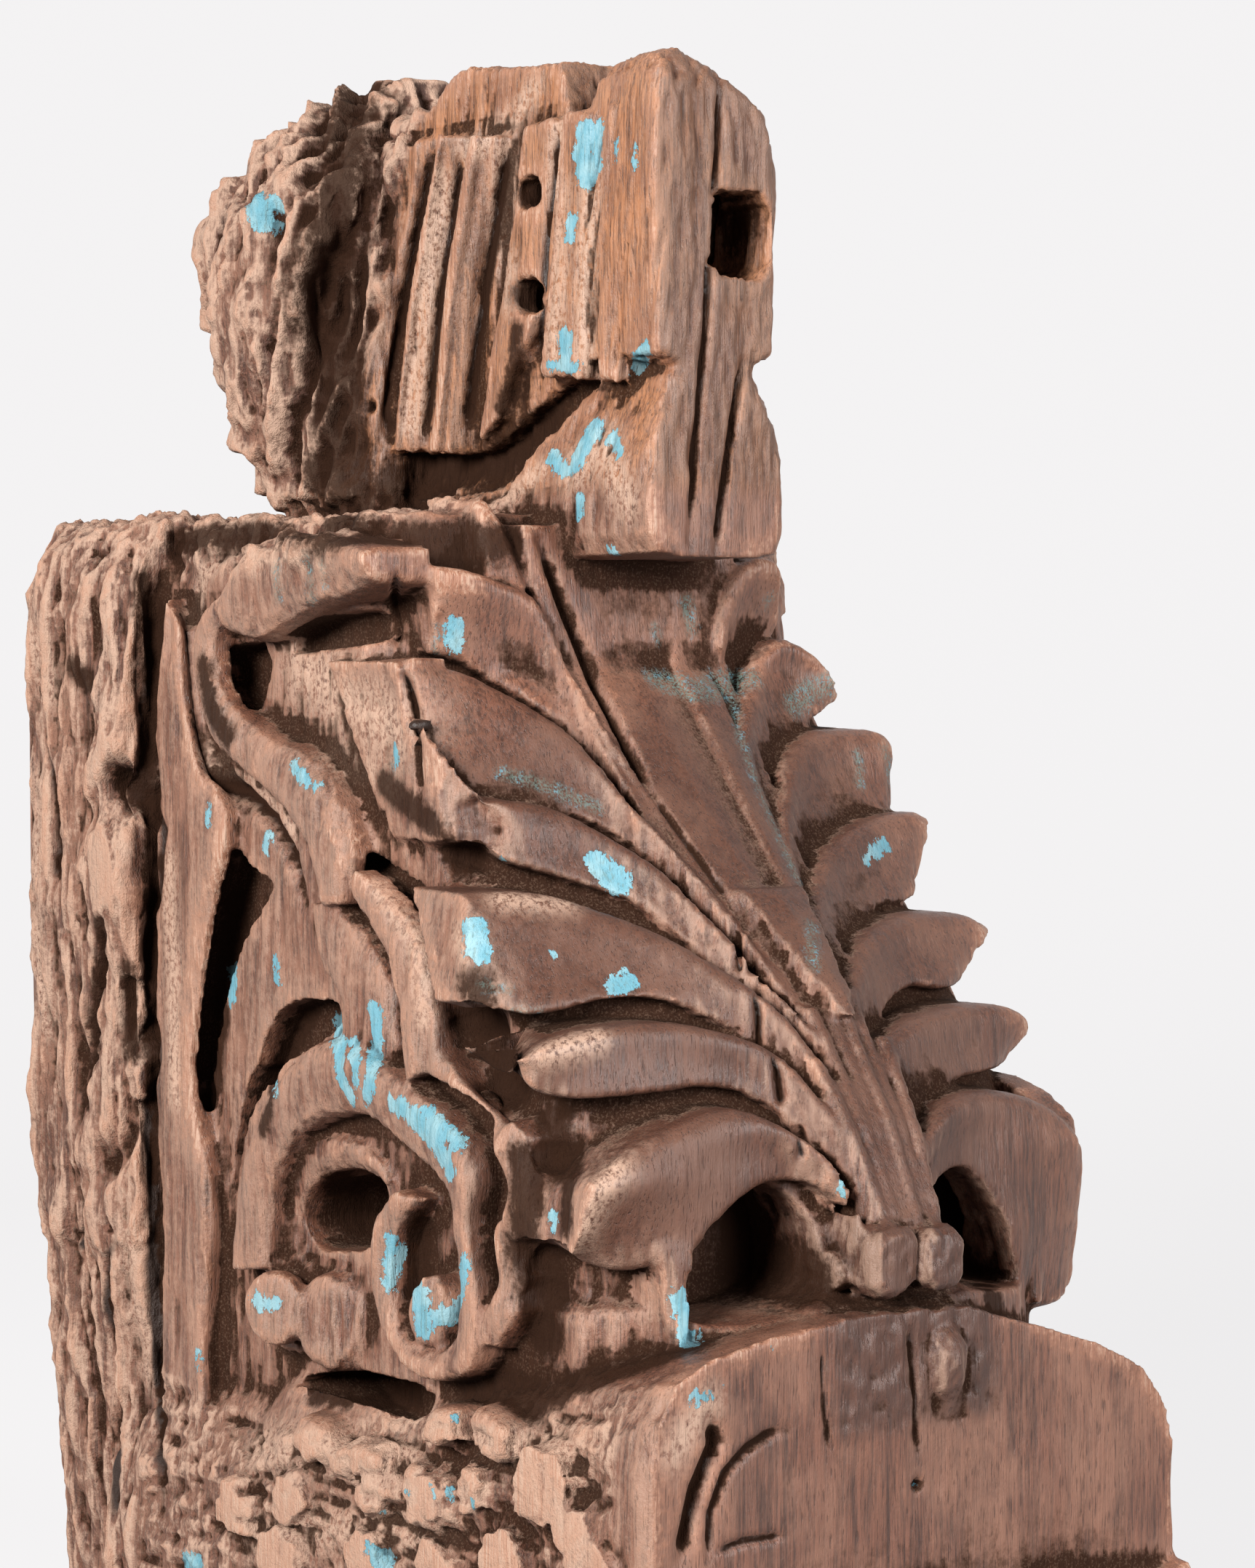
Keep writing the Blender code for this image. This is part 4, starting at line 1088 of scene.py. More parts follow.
# Roughness of each kind of surface: sort of noise, height, size of its features along x, s and z, and seed.
# What leans with the top block comes first
LEANING_ROUGHNESS = {
    "lump": ((ridged, 3.0, (13, 13, 52), 8), (ridged, 2.0, (6.5, 6.5, 19), 9)),
    "top": ((ridged, 0.55, (3.4, 3.4, 70), 16), (ridged, 0.35, (1.9, 1.9, 30), 17),
            (noise, 0.5, (8, 8, 60), 18)),
}
UPRIGHT_ROUGHNESS = {
    "post": ((noise, 2.4, (14, 14, 45), 4), (ridged, 1.2, (8, 8, 24), 5), (ridged, -1.1, (5, 5, 26), 6),
             (ridged, 0.5, (2.6, 2.6, 9), 26), (noise, 0.5, (1.9, 1.9, 4), 7)),
    "lump": ((noise, 1.3, (5, 5, 6.5), 10), (noise, 0.6, (1.9, 1.9, 3.4), 21)),
    "crown": ((noise, 2.6, (8, 8, 8), 11), (noise, 1.4, (3.6, 3.6, 3.6), 12),
              (ridged, 0.5, (2.4, 2.4, 2.4), 22)),
    "ledge": ((noise, 2.0, (20, 20, 11), 13), (ridged, 0.9, (12, 12, 4.5), 14),
              (ridged, -0.6, (6, 6, 11), 15), (ridged, 0.4, (2.8, 2.8, 4.2), 23),
              (noise, 0.3, (1.5, 1.5, 1.8), 27)),
    "knot": ((noise, 0.6, (5, 5, 6), 24), (ridged, 0.35, (2.8, 2.8, 5), 25)),
}
ROUGH_KINDS = ("post", "lump", "crown", "ledge", "knot", "top")


def weather(p, kinds):
    """Height of the worn and rotted surface over the smooth carving, in millimetres."""
    leaned = p - np.c_[np.zeros(len(p)), TOP_LEAN * (p[:, 2] - TOP_MIDDLE_Z), np.zeros(len(p))]
    height = 0.45 * noise(p, (26, 26, 40), 1)
    grain = noise(leaned, (2.6, 2.6, 50), 2) + 0.6 * noise(leaned, (1.5, 1.5, 30), 3)
    height += 0.16 * grain
    for kind in ROUGH_KINDS:
        chosen = kinds[kind] > 0.01
        rough = np.zeros(np.count_nonzero(chosen))
        for points, table in ((leaned, LEANING_ROUGHNESS), (p, UPRIGHT_ROUGHNESS)):
            for sort, amount, size, seed in table.get(kind, ()):
                rough += amount * sort(points[chosen], size, seed)
        height[chosen] += kinds[kind][chosen] * rough
    side = kinds["flank"].copy()
    for kind in ("post", "lump", "ledge", "top"):
        side *= 1 - kinds[kind]
    height += side * (0.45 * ridged(p, (4.0, 4.0, 22), 19) + 0.3 * noise(p, (2.2, 2.2, 5), 20))
    flat_back = step(1.5, 4.0, p[:, 1])
    flat_bottom = step(BOTTOM_Z + 0.3, BOTTOM_Z + 2.0, p[:, 2])
    return height * flat_back * flat_bottom


# Flakes of paint, traced on the picture: half width on the wood, then the line through the flake
PAINT = (
    (3.6, ((336, 262), (340, 285))), (2.6, ((352, 262),)), (3.6, ((746, 170), (742, 195), (748, 225))),
    (2.6, ((762, 165), (764, 215))), (2.3, ((731, 280), (729, 300))), (1.3, ((785, 185), (787, 200))),
    (1.2, ((810, 190), (812, 215))), (3.2, ((722, 430), (724, 460))), (1.6, ((705, 465), (735, 468))),
    (2.2, ((822, 445), (815, 468))), (3.0, ((760, 545), (735, 590))), (2.6, ((720, 600), (705, 585))),
    (2.2, ((780, 560), (790, 575))), (2.2, ((738, 640), (738, 655))), (1.9, ((782, 702),)),
    (1.4, ((1005, 640), (1004, 680))), (3.0, ((578, 800), (580, 822))), (1.6, ((375, 975), (395, 1000))),
    (1.6, ((405, 1005),)), (1.2, ((265, 1025), (265, 1050))), (2.0, ((342, 1068), (341, 1082))),
    (1.4, ((504, 955), (506, 970))), (3.4, ((605, 1185), (612, 1215))), (1.4, ((706, 1217),)),
    (3.0, ((785, 1258), (800, 1250))), (3.6, ((760, 1100), (790, 1125))), (1.5, ((640, 1098),)),
    (1.9, ((353, 1222), (355, 1250))), (2.6, ((298, 1240), (294, 1272))), (1.2, ((352, 1380), (353, 1392))),
    (2.6, ((478, 1290), (482, 1330), (470, 1400))), (2.6, ((432, 1305), (434, 1370), (448, 1398))),
    (2.0, ((452, 1330), (455, 1380))), (2.6, ((500, 1408), (520, 1418))),
    (3.4, ((528, 1425), (555, 1455), (572, 1490))), (2.4, ((545, 1420), (585, 1460))),
    (1.9, ((500, 1580), (496, 1640))), (1.4, ((512, 1590), (508, 1620))), (2.4, ((592, 1610), (588, 1660))),
    (3.6, ((535, 1650), (540, 1690))), (2.6, ((560, 1680), (585, 1675))), (2.2, ((328, 1655), (332, 1668))),
    (2.0, ((332, 1668), (352, 1662))), (1.0, ((253, 1725), (253, 1745))),
    (2.6, ((866, 1655), (874, 1685), (880, 1712))), (1.0, ((1073, 1510), (1073, 1522))),
    (1.4, ((688, 1550), (687, 1570))), (2.2, ((1115, 1085), (1130, 1078))), (1.7, ((1105, 1098),)),
    (1.6, ((885, 1782), (915, 1772))), (1.0, ((985, 1722),)), (0.9, ((1030, 1760),)),
    (0.7, ((1170, 1893),)), (3.2, ((465, 1985), (490, 1990))), (3.0, ((235, 1992), (255, 1994))),
    (1.0, ((545, 1895), (550, 1905))), (1.0, ((570, 1900), (573, 1912))), (1.0, ((600, 1915), (603, 1925))),
    (0.9, ((487, 1930),)), (1.0, ((580, 1808),)), (1.2, ((515, 1905),)),
)
# Thin, rubbed paint that has turned greenish
STAIN = (
    (2.6, ((352, 720), (356, 760))), (2.8, ((392, 715), (398, 770))), (2.2, ((410, 720), (414, 750))),
    (2.0, ((560, 800), (556, 830))), (6.0, ((840, 870), (890, 880), (950, 870))),
    (3.5, ((875, 770), (880, 800))), (2.5, ((835, 800), (838, 815))),
    (2.6, ((930, 880), (942, 940), (965, 1000), (990, 1060), (1018, 1125))),
    (3.0, ((1035, 1180), (1038, 1230))), (5.0, ((1010, 900), (1035, 880), (1065, 870))),
    (3.0, ((1095, 960), (1098, 1000))), (3.0, ((1130, 950), (1135, 995))),
    (3.0, ((640, 985), (690, 1000), (760, 1030))), (2.0, ((615, 1255), (650, 1262))),
    (2.0, ((655, 1290), (690, 1292))), (2.4, ((975, 770), (985, 760))), (2.6, ((500, 975), (506, 960))),
)


# Where damp, soot and grime have made the wood nearly black, and painted shadow in recesses and under
# overhangs: half width, then the line
SOOT_AND_SHADOW = (
    (15.0, ((455, 105), (432, 180), (422, 300), (414, 420), (418, 540), (440, 640))),
    (8.0, ((400, 600), (430, 660), (480, 690), (560, 690), (640, 690))),
    (10.0, ((500, 620), (560, 620), (620, 590), (690, 530))), (6.0, ((672, 247),)), (6.0, ((668, 376),)),
    (12.0, ((935, 300), (950, 290))), (4.0, ((660, 420), (655, 480), (640, 520))),
    (6.0, ((230, 695), (330, 682), (420, 690), (520, 690), (640, 682))),
    (5.0, ((262, 850), (268, 900), (290, 940))),
    (7.0, ((600, 1760), (680, 1790), (760, 1760), (880, 1720))),
    (6.0, ((705, 1425), (716, 1480), (706, 1560))),
    (3.5, ((205, 790), (197, 900), (190, 1000), (200, 1100), (195, 1200), (195, 1300), (195, 1400))),
    (5.0, ((180, 740), (185, 800), (195, 860))), (5.0, ((95, 850), (110, 870))),
    (6.0, ((152, 1000), (165, 1015))), (4.0, ((130, 1180), (120, 1260), (108, 1400))),
    (5.0, ((165, 1240), (163, 1290), (166, 1340))), (6.0, ((430, 1500), (455, 1555))),
    (4.0, ((530, 1550), (535, 1620), (530, 1640))), (4.0, ((400, 1780), (470, 1790), (530, 1780))),
    (4.0, ((300, 1150), (290, 1250), (272, 1400))), (3.5, ((400, 1290), (360, 1350), (335, 1440))),
    (8.0, ((600, 1260), (640, 1380))), (8.0, ((660, 1480), (660, 1600), (700, 1700))),
    (5.0, ((490, 1000), (560, 1060), (590, 1100))), (12.0, ((950, 1560), (980, 1620), (1040, 1640))),
    (5.0, ((1215, 1520), (1230, 1600), (1270, 1660))),
)


# Where the wood is bleached or covered with pale dust
PALE = (
    (13.0, ((390, 850), (440, 890), (500, 930))), (6.0, ((430, 960), (500, 1000))),
    (5.0, ((265, 960), (300, 995), (345, 1025), (370, 1060))),
    (4.5, ((735, 1600), (752, 1540), (785, 1490))), (4.0, ((640, 1146), (720, 1150))),
    (4.0, ((690, 1345), (760, 1325))), (6.0, ((648, 200), (646, 300), (650, 380))),
    (5.0, ((600, 190), (660, 150), (680, 110))), (6.0, ((716, 160), (712, 300), (706, 470))),
    (5.0, ((760, 180), (752, 320), (748, 470))), (5.0, ((560, 230), (540, 400), (525, 540))),
    (7.0, ((730, 600), (770, 570), (800, 640))), (7.0, ((40, 800), (60, 880))),
    (7.0, ((50, 1000), (45, 1150), (60, 1300))), (6.0, ((170, 1560), (190, 1750))),
    (4.0, ((250, 780), (262, 730), (300, 705))), (5.0, ((215, 1100), (220, 1250), (225, 1400))),
    (5.0, ((590, 1190), (605, 1280))), (4.0, ((480, 1130), (530, 1200), (540, 1300))),
    (9.0, ((330, 1850), (430, 1850), (520, 1870))), (8.0, ((600, 1830), (690, 1860))),
    (8.0, ((320, 1960), (420, 1950), (560, 1960))), (4.0, ((690, 600), (640, 640))),
    (7.0, ((430, 1850), (480, 1900))), (7.0, ((700, 1830), (730, 1880))), (5.0, ((860, 1850), (900, 1790))),
)


def soft(tree, body, count, table):
    """How near each vertex is to the middle of a traced patch, from 0 far off to 1."""
    field = np.zeros(count)
    for half, line in table:
        far, _ = near_lines(tree, count, traced(body, line, 8.0), 1.8 * half)
        field = np.maximum(field, np.exp(-(far / half) ** 2))
    return field


def patches(tree, body, count, table, margin=3.0):
    """Millimetres inside the edge of the nearest patch at each vertex, below zero outside."""
    field = np.full(count, -margin)
    for half, line in table:
        far, _ = near_lines(tree, count, traced(body, line), half + margin)
        field = np.maximum(field, half - far)
    return field


def openness(p, n, radius):
    """How far each vertex stands over the mean of the surface around it, as a share of the radius."""
    cell = radius / 2.0
    low = p.min(0) - 3 * cell
    shape = tuple(int(v) for v in np.ceil((p.max(0) - low) / cell) + 4)
    place = np.floor((p - low) / cell).astype(int)
    flat = np.ravel_multi_index(place.T, shape)
    fields = []
    for weights in (None, p[:, 0], p[:, 1], p[:, 2]):
        grid = np.bincount(flat, weights, int(np.prod(shape))).reshape(shape)
        for axis in range(3):
            grid = (np.roll(grid, 1, axis) + np.roll(grid, -1, axis)) * 0.7 + grid \
                + (np.roll(grid, 2, axis) + np.roll(grid, -2, axis)) * 0.25
        fields.append(grid.ravel()[flat])
    mean = np.stack(fields[1:], axis=1) / fields[0][:, None]
    return np.einsum("ij,ij->i", p - mean, n) / radius


def add_field(mesh, name, values):
    mesh.attributes.new(name, "FLOAT", "POINT").data.foreach_set("value", values.astype(np.float32))


def read_field(mesh, name):
    values = np.empty(len(mesh.vertices), np.float32)
    mesh.attributes[name].data.foreach_get("value", values)
    return values.astype(float)


PIECES = ("post", "left_flank", "right_flank", "palmette", "base", "ledge", "top", "top_back")
# Where one piece ends and the next begins
BLOCK_TOP_Z = -55.0
LEDGE_END_S = 232.0
POST_END_S = 64.0
LUMP_END_S = 98.0


def piece_of(p):
    """Number of the piece that a point belongs to, split along the grooves of the carving."""
    x, s, z = p.T
    kind = np.where(x < 0, 1, 2)
    kind[s > 205 + 0.12 * np.abs(z - 60)] = 3
    kind[(z < BLOCK_TOP_Z) & (s > LEDGE_END_S)] = 4
    kind[(z < BLOCK_TOP_Z) & (s <= LEDGE_END_S)] = 5
    kind[s < POST_END_S] = 0
    kind[z > BODY_TOP_Z] = 6
    kind[(z > BODY_TOP_Z) & (s - TOP_LEAN * (z - TOP_MIDDLE_Z) < LUMP_END_S)] = 7
    return kind


def split(body, normals, fields):
    """One mesh object for each piece, with the shading and the fields of the whole."""
    mesh = body.data
    mesh.calc_loop_triangles()
    count = len(mesh.loop_triangles)
    corners = np.empty(count * 3, np.int32)
    mesh.loop_triangles.foreach_get("vertices", corners)
    corners = corners.reshape(-1, 3)
    co = np.empty(len(mesh.vertices) * 3, np.float32)
    mesh.vertices.foreach_get("co", co)
    co = co.reshape(-1, 3)
    middle = co[corners].mean(1) * (1000.0, -1000.0, 1000.0)
    kind = piece_of(middle)
    made = []
    for number, name in enumerate(PIECES):
        chosen = corners[kind == number]
        used, local = np.unique(chosen, return_inverse=True)
        local = local.reshape(-1, 3)
        piece = bpy.data.meshes.new("corbel_" + name)
        piece.vertices.add(len(used))
        piece.vertices.foreach_set("co", co[used].ravel())
        piece.loops.add(local.size)
        piece.loops.foreach_set("vertex_index", local.ravel().astype(np.int32))
        piece.polygons.add(len(local))
        piece.polygons.foreach_set("loop_start", np.arange(0, local.size, 3, dtype=np.int32))
        piece.update(calc_edges=True)
        piece.validate()
        piece.shade_smooth()
        piece.normals_split_custom_set_from_vertices((normals[used] * (1, -1, 1)).tolist())
        for field, values in fields.items():
            add_field(piece, field, values[used])
        thing = bpy.data.objects.new("corbel_" + name, piece)
        bpy.context.scene.collection.objects.link(thing)
        made.append(thing)
    bpy.data.objects.remove(body)
    return made


class Nodes:
    """Short way to write a node tree."""

    def __init__(self, name):
        self.material = bpy.data.materials.new(name)
        self.material.use_nodes = True
        self.tree = self.material.node_tree
        self.shader = self.tree.nodes["Principled BSDF"]

    def put(self, socket, value):
        if isinstance(value, bpy.types.NodeSocket):
            self.tree.links.new(value, socket)
        else:
            socket.default_value = value

    def math(self, operation, *values, clamp=False):
        node = self.tree.nodes.new("ShaderNodeMath")
        node.operation = operation
        node.use_clamp = clamp
        for socket, value in zip(node.inputs, values):
            self.put(socket, value)
        return node.outputs[0]

    def total(self, *terms):
        """Sum of values, each times its own factor."""
        out = None
        for value, factor in terms:
            part = self.math("MULTIPLY", value, factor)
            out = part if out is None else self.math("ADD", out, part)
        return out

    def product(self, first, *others):
        for other in others:
            first = self.math("MULTIPLY", first, other)
        return first

    def swing(self, value):
        """A noise from 0 to 1 as a swing to either side of nothing."""
        return self.math("SUBTRACT", value, 0.5)

    def field(self, name):
        node = self.tree.nodes.new("ShaderNodeAttribute")
        node.attribute_name = name
        return node.outputs["Fac"]

    def stretched(self, scale):
        """Object coordinates in millimetres, divided along each axis."""
        place = self.tree.nodes.new("ShaderNodeTexCoord").outputs["Object"]
        node = self.tree.nodes.new("ShaderNodeMapping")
        node.inputs["Scale"].default_value = [1000.0 / v for v in scale]
        self.tree.links.new(place, node.inputs["Vector"])
        return node.outputs[0]

    def noise(self, scale, detail=3.0, rough=0.55, distortion=0.0):
        node = self.tree.nodes.new("ShaderNodeTexNoise")
        node.inputs["Scale"].default_value = 1.0
        node.inputs["Detail"].default_value = detail
        node.inputs["Roughness"].default_value = rough
        node.inputs["Distortion"].default_value = distortion
        self.tree.links.new(self.stretched(scale), node.inputs["Vector"])
        return node.outputs["Fac"]

    def between(self, value, low, high):
        """Value from low to high brought to 0 to 1, and held there."""
        node = self.tree.nodes.new("ShaderNodeMapRange")
        node.interpolation_type = "SMOOTHSTEP"
        self.put(node.inputs["Value"], value)
        node.inputs["From Min"].default_value = low
        node.inputs["From Max"].default_value = high
        return node.outputs["Result"]

    def mix(self, share, one, other):
        node = self.tree.nodes.new("ShaderNodeMix")
        node.data_type = "RGBA"
        self.put(node.inputs[0], share)
        self.put(node.inputs[6], one)
        self.put(node.inputs[7], other)
        return node.outputs[2]


DARK_WOOD = (0.050, 0.022, 0.015, 1.0)
MID_WOOD = (0.165, 0.067, 0.041, 1.0)
LIGHT_WOOD = (0.225, 0.108, 0.070, 1.0)
DARK_TAN = (0.105, 0.042, 0.020, 1.0)
TAN = (0.345, 0.145, 0.066, 1.0)
WORN_EDGE = (0.350, 0.150, 0.085, 1.0)
BLEACHED = (0.460, 0.300, 0.220, 1.0)
# Near black of grime, and of painted shade in hollows, cracks and traced shadows
GRIME_AND_SHADE = (0.021, 0.009, 0.005, 1.0)
DUST = (0.210, 0.130, 0.090, 1.0)
TURQUOISE = (0.115, 0.290, 0.360, 1.0)
PALE_TURQUOISE = (0.215, 0.370, 0.415, 1.0)
GREEN_STAIN = (0.110, 0.165, 0.145, 1.0)
CLEAN_ROUGHNESS = 0.38
BUMP_STRENGTH = 0.9
BUMP_HEIGHT = 1.2


def wood():
    """Old carved wood: streaked grain, worn edges, dust in hollows, grime and painted shade that darken
    hollows, cracks and traced shadows, painted shade on front faces, pale rot and flakes of paint.
    """
    n = Nodes("weathered_wood")
    streak = n.noise((3.6, 3.6, 70.0), 5.0, 0.65)
    fine = n.noise((0.8, 0.8, 16.0), 4.0, 0.65)
    pore = n.noise((0.5, 0.5, 5.5), 2.0, 0.5)
    blotch = n.noise((20.0, 20.0, 34.0), 5.0, 0.65, 0.4)
    speck = n.noise((1.5, 1.5, 1.8), 4.0, 0.7)
    crumb = n.noise((0.6, 0.6, 0.7), 2.0, 0.6)
    form, hollow, nook, rot, crack = (n.field(name) for name in ("form", "hollow", "nook", "rot", "crack"))
    soot_and_shadow, tan, pale, dark_wood_and_shade = (n.field(name) for name in ("soot_and_shadow", "tan", "pale", "dark_wood_and_shade"))

    # Clean wood, reddish on the body and tan on the top block
    grain = n.between(n.total((streak, 0.38), (fine, 0.62)), 0.37, 0.60)
    plain = n.mix(grain, DARK_WOOD, MID_WOOD)
    plain = n.mix(n.product(n.between(blotch, 0.38, 0.68), 0.8), plain, LIGHT_WOOD)
    gold = n.mix(grain, DARK_TAN, TAN)
    gold = n.mix(n.product(n.between(blotch, 0.56, 0.40), 0.5), gold, MID_WOOD)
    colour = n.mix(tan, plain, gold)
    colour = n.mix(n.product(n.between(pore, 0.42, 0.30), 0.7), colour, DARK_WOOD)
    # Painted shade on the front faces of the palmette and the top block, with darker wood there and on the
    # knot
    colour = n.mix(dark_wood_and_shade, colour, DARK_WOOD)

    # Bleached where it has rotted or lain in the light
    weathered = n.total((nook, 3.0), (hollow, 1.2), (n.swing(streak), 3.0), (n.swing(speck), 1.6))
    bleach = n.product(rot, n.between(weathered, -0.25, 0.85))
    bleach = n.math("MAXIMUM", bleach, n.product(pale, n.between(speck, 0.34, 0.56)))
    colour = n.mix(n.product(bleach, 0.88), colour, BLEACHED)

    # Worn and chalky edges
    edge = n.total((nook, 3.4), (form, 0.10), (n.swing(speck), 1.6), (n.swing(blotch), 1.6), (dark_wood_and_shade, -1.3))
    colour = n.mix(n.product(n.between(edge, 0.35, 1.35), 0.55), colour, WORN_EDGE)
    chalk = n.product(n.between(edge, 0.75, 1.5), n.between(fine, 0.42, 0.58))
    colour = n.mix(n.product(chalk, 0.8), colour, BLEACHED)

    # Dust on what faces up, silt in the rot, grime and painted shade in the hollows, soot and painted shadow
    # where it was traced
    sunk = n.total((nook, -5.0), (hollow, -3.2), (form, -0.10))
    up = n.tree.nodes.new("ShaderNodeSeparateXYZ")
    n.tree.links.new(n.tree.nodes.new("ShaderNodeNewGeometry").outputs["Normal"], up.inputs[0])
    settle = n.product(n.between(up.outputs["Z"], 0.35, 0.95), n.between(crumb, 0.38, 0.60))
    settle = n.product(settle, n.between(sunk, -0.2, 0.7))
    colour = n.mix(n.product(settle, 0.9), colour, DUST)
    silt = n.product(n.between(speck, 0.50, 0.66), n.between(sunk, -0.2, 0.6))
    colour = n.mix(n.product(silt, n.math("ADD", n.product(rot, 0.6), 0.15)), colour, DUST)
    # Painted shade with grime: hollows and nooks are darkened towards near black, more where they are more
    # sunken
    grime_and_shade_amount = n.total((sunk, 1.0), (n.swing(speck), 1.2), (settle, -0.25), (rot, -0.3))
    grime_and_shade = n.between(grime_and_shade_amount, 0.0, 0.95)
    colour = n.mix(n.product(grime_and_shade, 0.93), colour, GRIME_AND_SHADE)
    colour = n.mix(n.product(grime_and_shade, n.between(crumb, 0.52, 0.64), 0.2), colour, DUST)
    # Painted shadow and soot on the traced patches darken recesses and the undersides of overhangs to near
    # black
    soot_and_shadow_mask = n.between(n.total((soot_and_shadow, 1.5), (n.swing(speck), 1.4), (nook, -1.5)), 0.25, 1.1)
    colour = n.mix(n.product(soot_and_shadow_mask, 0.93), colour, GRIME_AND_SHADE)
    # Painted shade and grime darken the cracks to near black
    colour = n.mix(n.between(crack, 0.25, 0.8), colour, GRIME_AND_SHADE)

    # Rubbed and flaked paint
    flake = n.noise((2.4, 2.4, 4.2), 4.0, 0.7)
    tatter = n.swing(n.total((flake, 0.6), (speck, 0.4)))
    painted = n.between(n.total((n.field("paint"), 1.0), (tatter, 11.0)), 0.0, 0.25)
    hue = n.mix(n.between(n.noise((6.0, 6.0, 9.0), 3.0), 0.4, 0.66), TURQUOISE, PALE_TURQUOISE)
    hue = n.mix(n.product(n.between(fine, 0.50, 0.66), 0.5), hue, GREEN_STAIN)
    # The paint too is darkened in the hollows by grime and painted shade
    hue = n.mix(n.product(grime_and_shade, 0.6), hue, GRIME_AND_SHADE)
    stain = n.total((n.field("stain"), 1.0), (n.swing(flake), 6.0))
    rubbed = n.product(n.between(stain, -0.5, 3.5), n.between(crumb, 0.40, 0.60))
    green = n.mix(n.between(flake, 0.5, 0.68), GREEN_STAIN, TURQUOISE)
    colour = n.mix(n.product(rubbed, 0.75), colour, green)
    n.put(n.shader.inputs["Base Color"], n.mix(painted, colour, hue))

    # Dull in the grimy hollows that are also painted dark, and where it is rotten
    rough = n.total((grime_and_shade, 0.40), (n.between(blotch, 0.4, 0.7), 0.16), (rot, 0.28))
    n.put(n.shader.inputs["Roughness"], n.math("ADD", CLEAN_ROUGHNESS, rough, clamp=True))
    clean = n.math("SUBTRACT", 1.0, n.math("MAXIMUM", soot_and_shadow_mask, grime_and_shade))
    n.put(n.shader.inputs["Specular IOR Level"], n.math("ADD", n.product(clean, 0.34), 0.06))

    # Fine grain, pores and crumbs, too small for the mesh
    gritty = n.total((speck, 0.7), (crumb, 0.35))
    height = n.total((fine, 0.20), (streak, 0.35), (n.between(pore, 0.28, 0.42), 0.12),
                     (gritty, n.math("ADD", n.product(rot, 0.8), 0.12)), (painted, 0.16))
    bump = n.tree.nodes.new("ShaderNodeBump")
    bump.inputs["Strength"].default_value = BUMP_STRENGTH
    bump.inputs["Distance"].default_value = BUMP_HEIGHT * MM
    n.put(bump.inputs["Height"], height)
    n.tree.links.new(bump.outputs["Normal"], n.shader.inputs["Normal"])
    return n.material


BACKDROP = (0.905, 0.893, 0.898, 1.0)
BACKDROP_GLOW = 0.895
PAPER = (0.12, 0.118, 0.119, 1.0)
# Floor of the backdrop, in metres: its reach forward, back and aside, its curve and the height of its wall
FLOOR_NEAR = -4.0
FLOOR_FAR = 0.9
FLOOR_HALF = 6.0
FLOOR_CURVE = 1.2
FLOOR_STEPS = 16
WALL_HEIGHT = 5.0
FLOOR_GAP = 0.0005


def backdrop():
    """Pale floor that curves up into a wall behind the corbel."""
    floor_z = CAD_LOW[2] - FLOOR_GAP
    profile = [(FLOOR_NEAR, 0.0), (FLOOR_FAR, 0.0)]
    for k in range(1, FLOOR_STEPS + 1):
        turn = math.pi / 2 * k / FLOOR_STEPS
        profile.append((FLOOR_FAR + FLOOR_CURVE * math.sin(turn), FLOOR_CURVE * (1 - math.cos(turn))))
    profile.append((FLOOR_FAR + FLOOR_CURVE, WALL_HEIGHT))
    turn = Matrix.Rotation(AZIMUTH, 3, "Z")
    bm = bmesh.new()
    rows = [[bm.verts.new(turn @ Vector((x, y, 0)) + Vector((0, 0, floor_z + z)))
             for x in (-FLOOR_HALF, FLOOR_HALF)] for y, z in profile]
    for low, high in zip(rows, rows[1:]):
        bm.faces.new((low[0], low[1], high[1], high[0])).smooth = True
    mesh = bpy.data.meshes.new("backdrop")
    bm.to_mesh(mesh)
    bm.free()
    made = bpy.data.objects.new("backdrop", mesh)
    bpy.context.scene.collection.objects.link(made)
    n = Nodes("backdrop_paper")
    n.put(n.shader.inputs["Base Color"], PAPER)
    n.put(n.shader.inputs["Roughness"], 0.95)
    n.put(n.shader.inputs["Specular IOR Level"], 0.0)
    n.put(n.shader.inputs["Emission Color"], BACKDROP)
    n.put(n.shader.inputs["Emission Strength"], BACKDROP_GLOW)
    mesh.materials.append(n.material)
    made.visible_diffuse = False
    return made


WORLD_COLOUR = (0.93, 0.96, 1.0, 1.0)
WORLD_STRENGTH = 0.15
LIGHT_AIM = (0.0, -0.15, 0.05)
# Soft lights: place, diameter, power and colour
LIGHTS = {
    "key": ((-1.75, -0.80, 0.70), 0.7, 76.0, (1.0, 0.985, 0.96)),
    "fill": ((0.5, -2.2, 0.5), 1.2, 46.0, (1.0, 1.0, 1.0)),
}


def light(name, place, size, power, colour):
    data = bpy.data.lights.new(name, "AREA")
    data.shape = "DISK"
    data.size = size
    data.energy = power
    data.color = colour
    made = bpy.data.objects.new(name, data)
    made.location = place
    made.rotation_euler = (Vector(LIGHT_AIM) - Vector(place)).to_track_quat("-Z", "Y").to_euler()
    bpy.context.scene.collection.objects.link(made)


def lighting():
    world = bpy.data.worlds.new("studio")
    world.use_nodes = True
    world.node_tree.nodes["Background"].inputs["Color"].default_value = WORLD_COLOUR
    world.node_tree.nodes["Background"].inputs["Strength"].default_value = WORLD_STRENGTH
    bpy.context.scene.world = world
    for name, settings in LIGHTS.items():
        light(name, *settings)
    bpy.context.scene.view_settings.view_transform = "Standard"


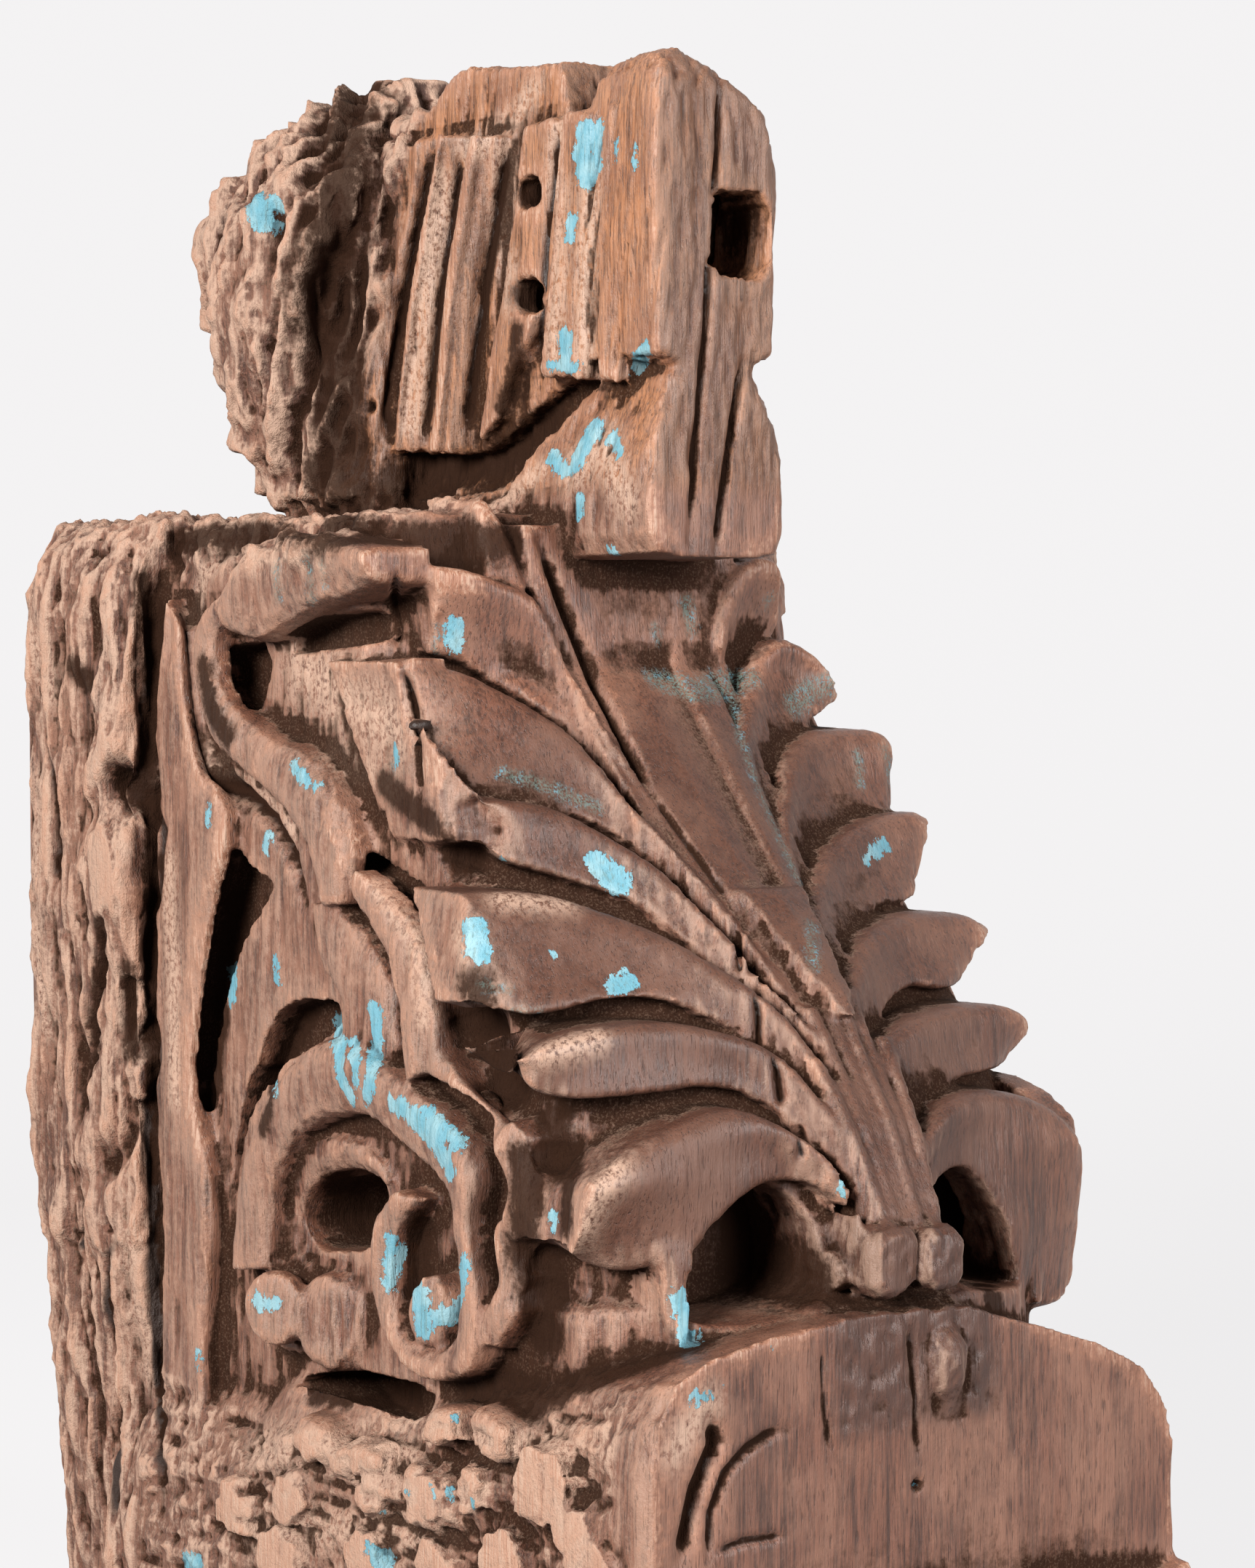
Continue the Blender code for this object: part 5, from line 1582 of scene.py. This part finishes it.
def shaped():
    """The joined, carved and weathered wood, with the fields that were traced on it."""
    parts = [core(), post(), lower_block(), lower_tier()]
    parts += stems() + knot() + side_carving(-1) + side_carving(1) + top_block() + [neck(), lump()]
    cut_all(parts, cutters())
    parts += lobes() + [centre_lobe(), centre_tip(), leaf_bed(), leaf_chip(), leg(-1), leg(1)]
    body = joined(parts)

    surface = Surface(body)
    surface.p = surface.average(surface.p, 2, 0.5)
    base_normals = surface.average(surface.normals(), 4)
    base_normals /= np.linalg.norm(base_normals, axis=1)[:, None]
    tree, crack = carve(surface, base_normals)
    count = len(surface.p)
    traces = {"crack": crack, "paint": patches(tree, body, count, PAINT),
              "stain": patches(tree, body, count, STAIN), "soot_and_shadow": soft(tree, body, count, SOOT_AND_SHADOW),
              "pale": soft(tree, body, count, PALE)}
    kinds = regions(surface.p, base_normals)
    surface.p += base_normals * weather(surface.p, kinds)[:, None]
    low = np.array((CAD_LOW[0], -CAD_HIGH[1], CAD_LOW[2])) / MM
    high = np.array((CAD_HIGH[0], -CAD_LOW[1], CAD_HIGH[2])) / MM
    surface.p = np.clip(surface.average(surface.p, 1, 0.25), low, high)
    surface.p[surface.p[:, 1] < FLAT_DEPTH, 1] = 0.0
    surface.p[surface.p[:, 2] < BOTTOM_Z + FLAT_DEPTH, 2] = BOTTOM_Z
    surface.write()
    for name, values in traces.items():
        add_field(body.data, name, values)
    thinned(body, TRIANGLES / (2 * len(body.data.polygons)))
    surface = Surface(body)
    traces = {name: read_field(body.data, name) for name in traces}
    kinds = regions(surface.p, surface.normals())
    return surface, kinds, traces


def measured(surface, kinds, traces):
    """Normals of the wood, and the fields that its material reads."""
    normals = surface.normals()
    normals[surface.p[:, 1] < 0.01] = (0, -1, 0)
    normals[surface.p[:, 2] < BOTTOM_Z + 0.01] = (0, 0, -1)
    wide = surface.average(surface.average(surface.p, 5), 30)
    rot = (kinds["lump"] + 0.8 * kinds["post"] + kinds["crown"] + kinds["ledge"] + 0.2 * kinds["top"]
           + 0.4 * kinds["flank"] * (1 - kinds["top"]))
    fields = {
        "form": np.einsum("ij,ij->i", surface.p - wide, normals),
        "hollow": openness(surface.p, normals, HOLLOW_RADIUS),
        "nook": openness(surface.p, normals, NOOK_RADIUS),
        "rot": np.clip(rot, 0, 1), "tan": kinds["top"], "dark_wood_and_shade": kinds["dark_wood_and_shade"],
    }
    fields.update(traces)
    return normals, fields


def main():
    add_camera()
    surface, kinds, traces = shaped()
    normals, fields = measured(surface, kinds, traces)
    material = wood()
    for piece in split(surface.body, normals, fields):
        piece.data.materials.append(material)
        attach(piece, "root")
        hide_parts("corbel")
    backdrop()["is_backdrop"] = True
    lighting()


main()
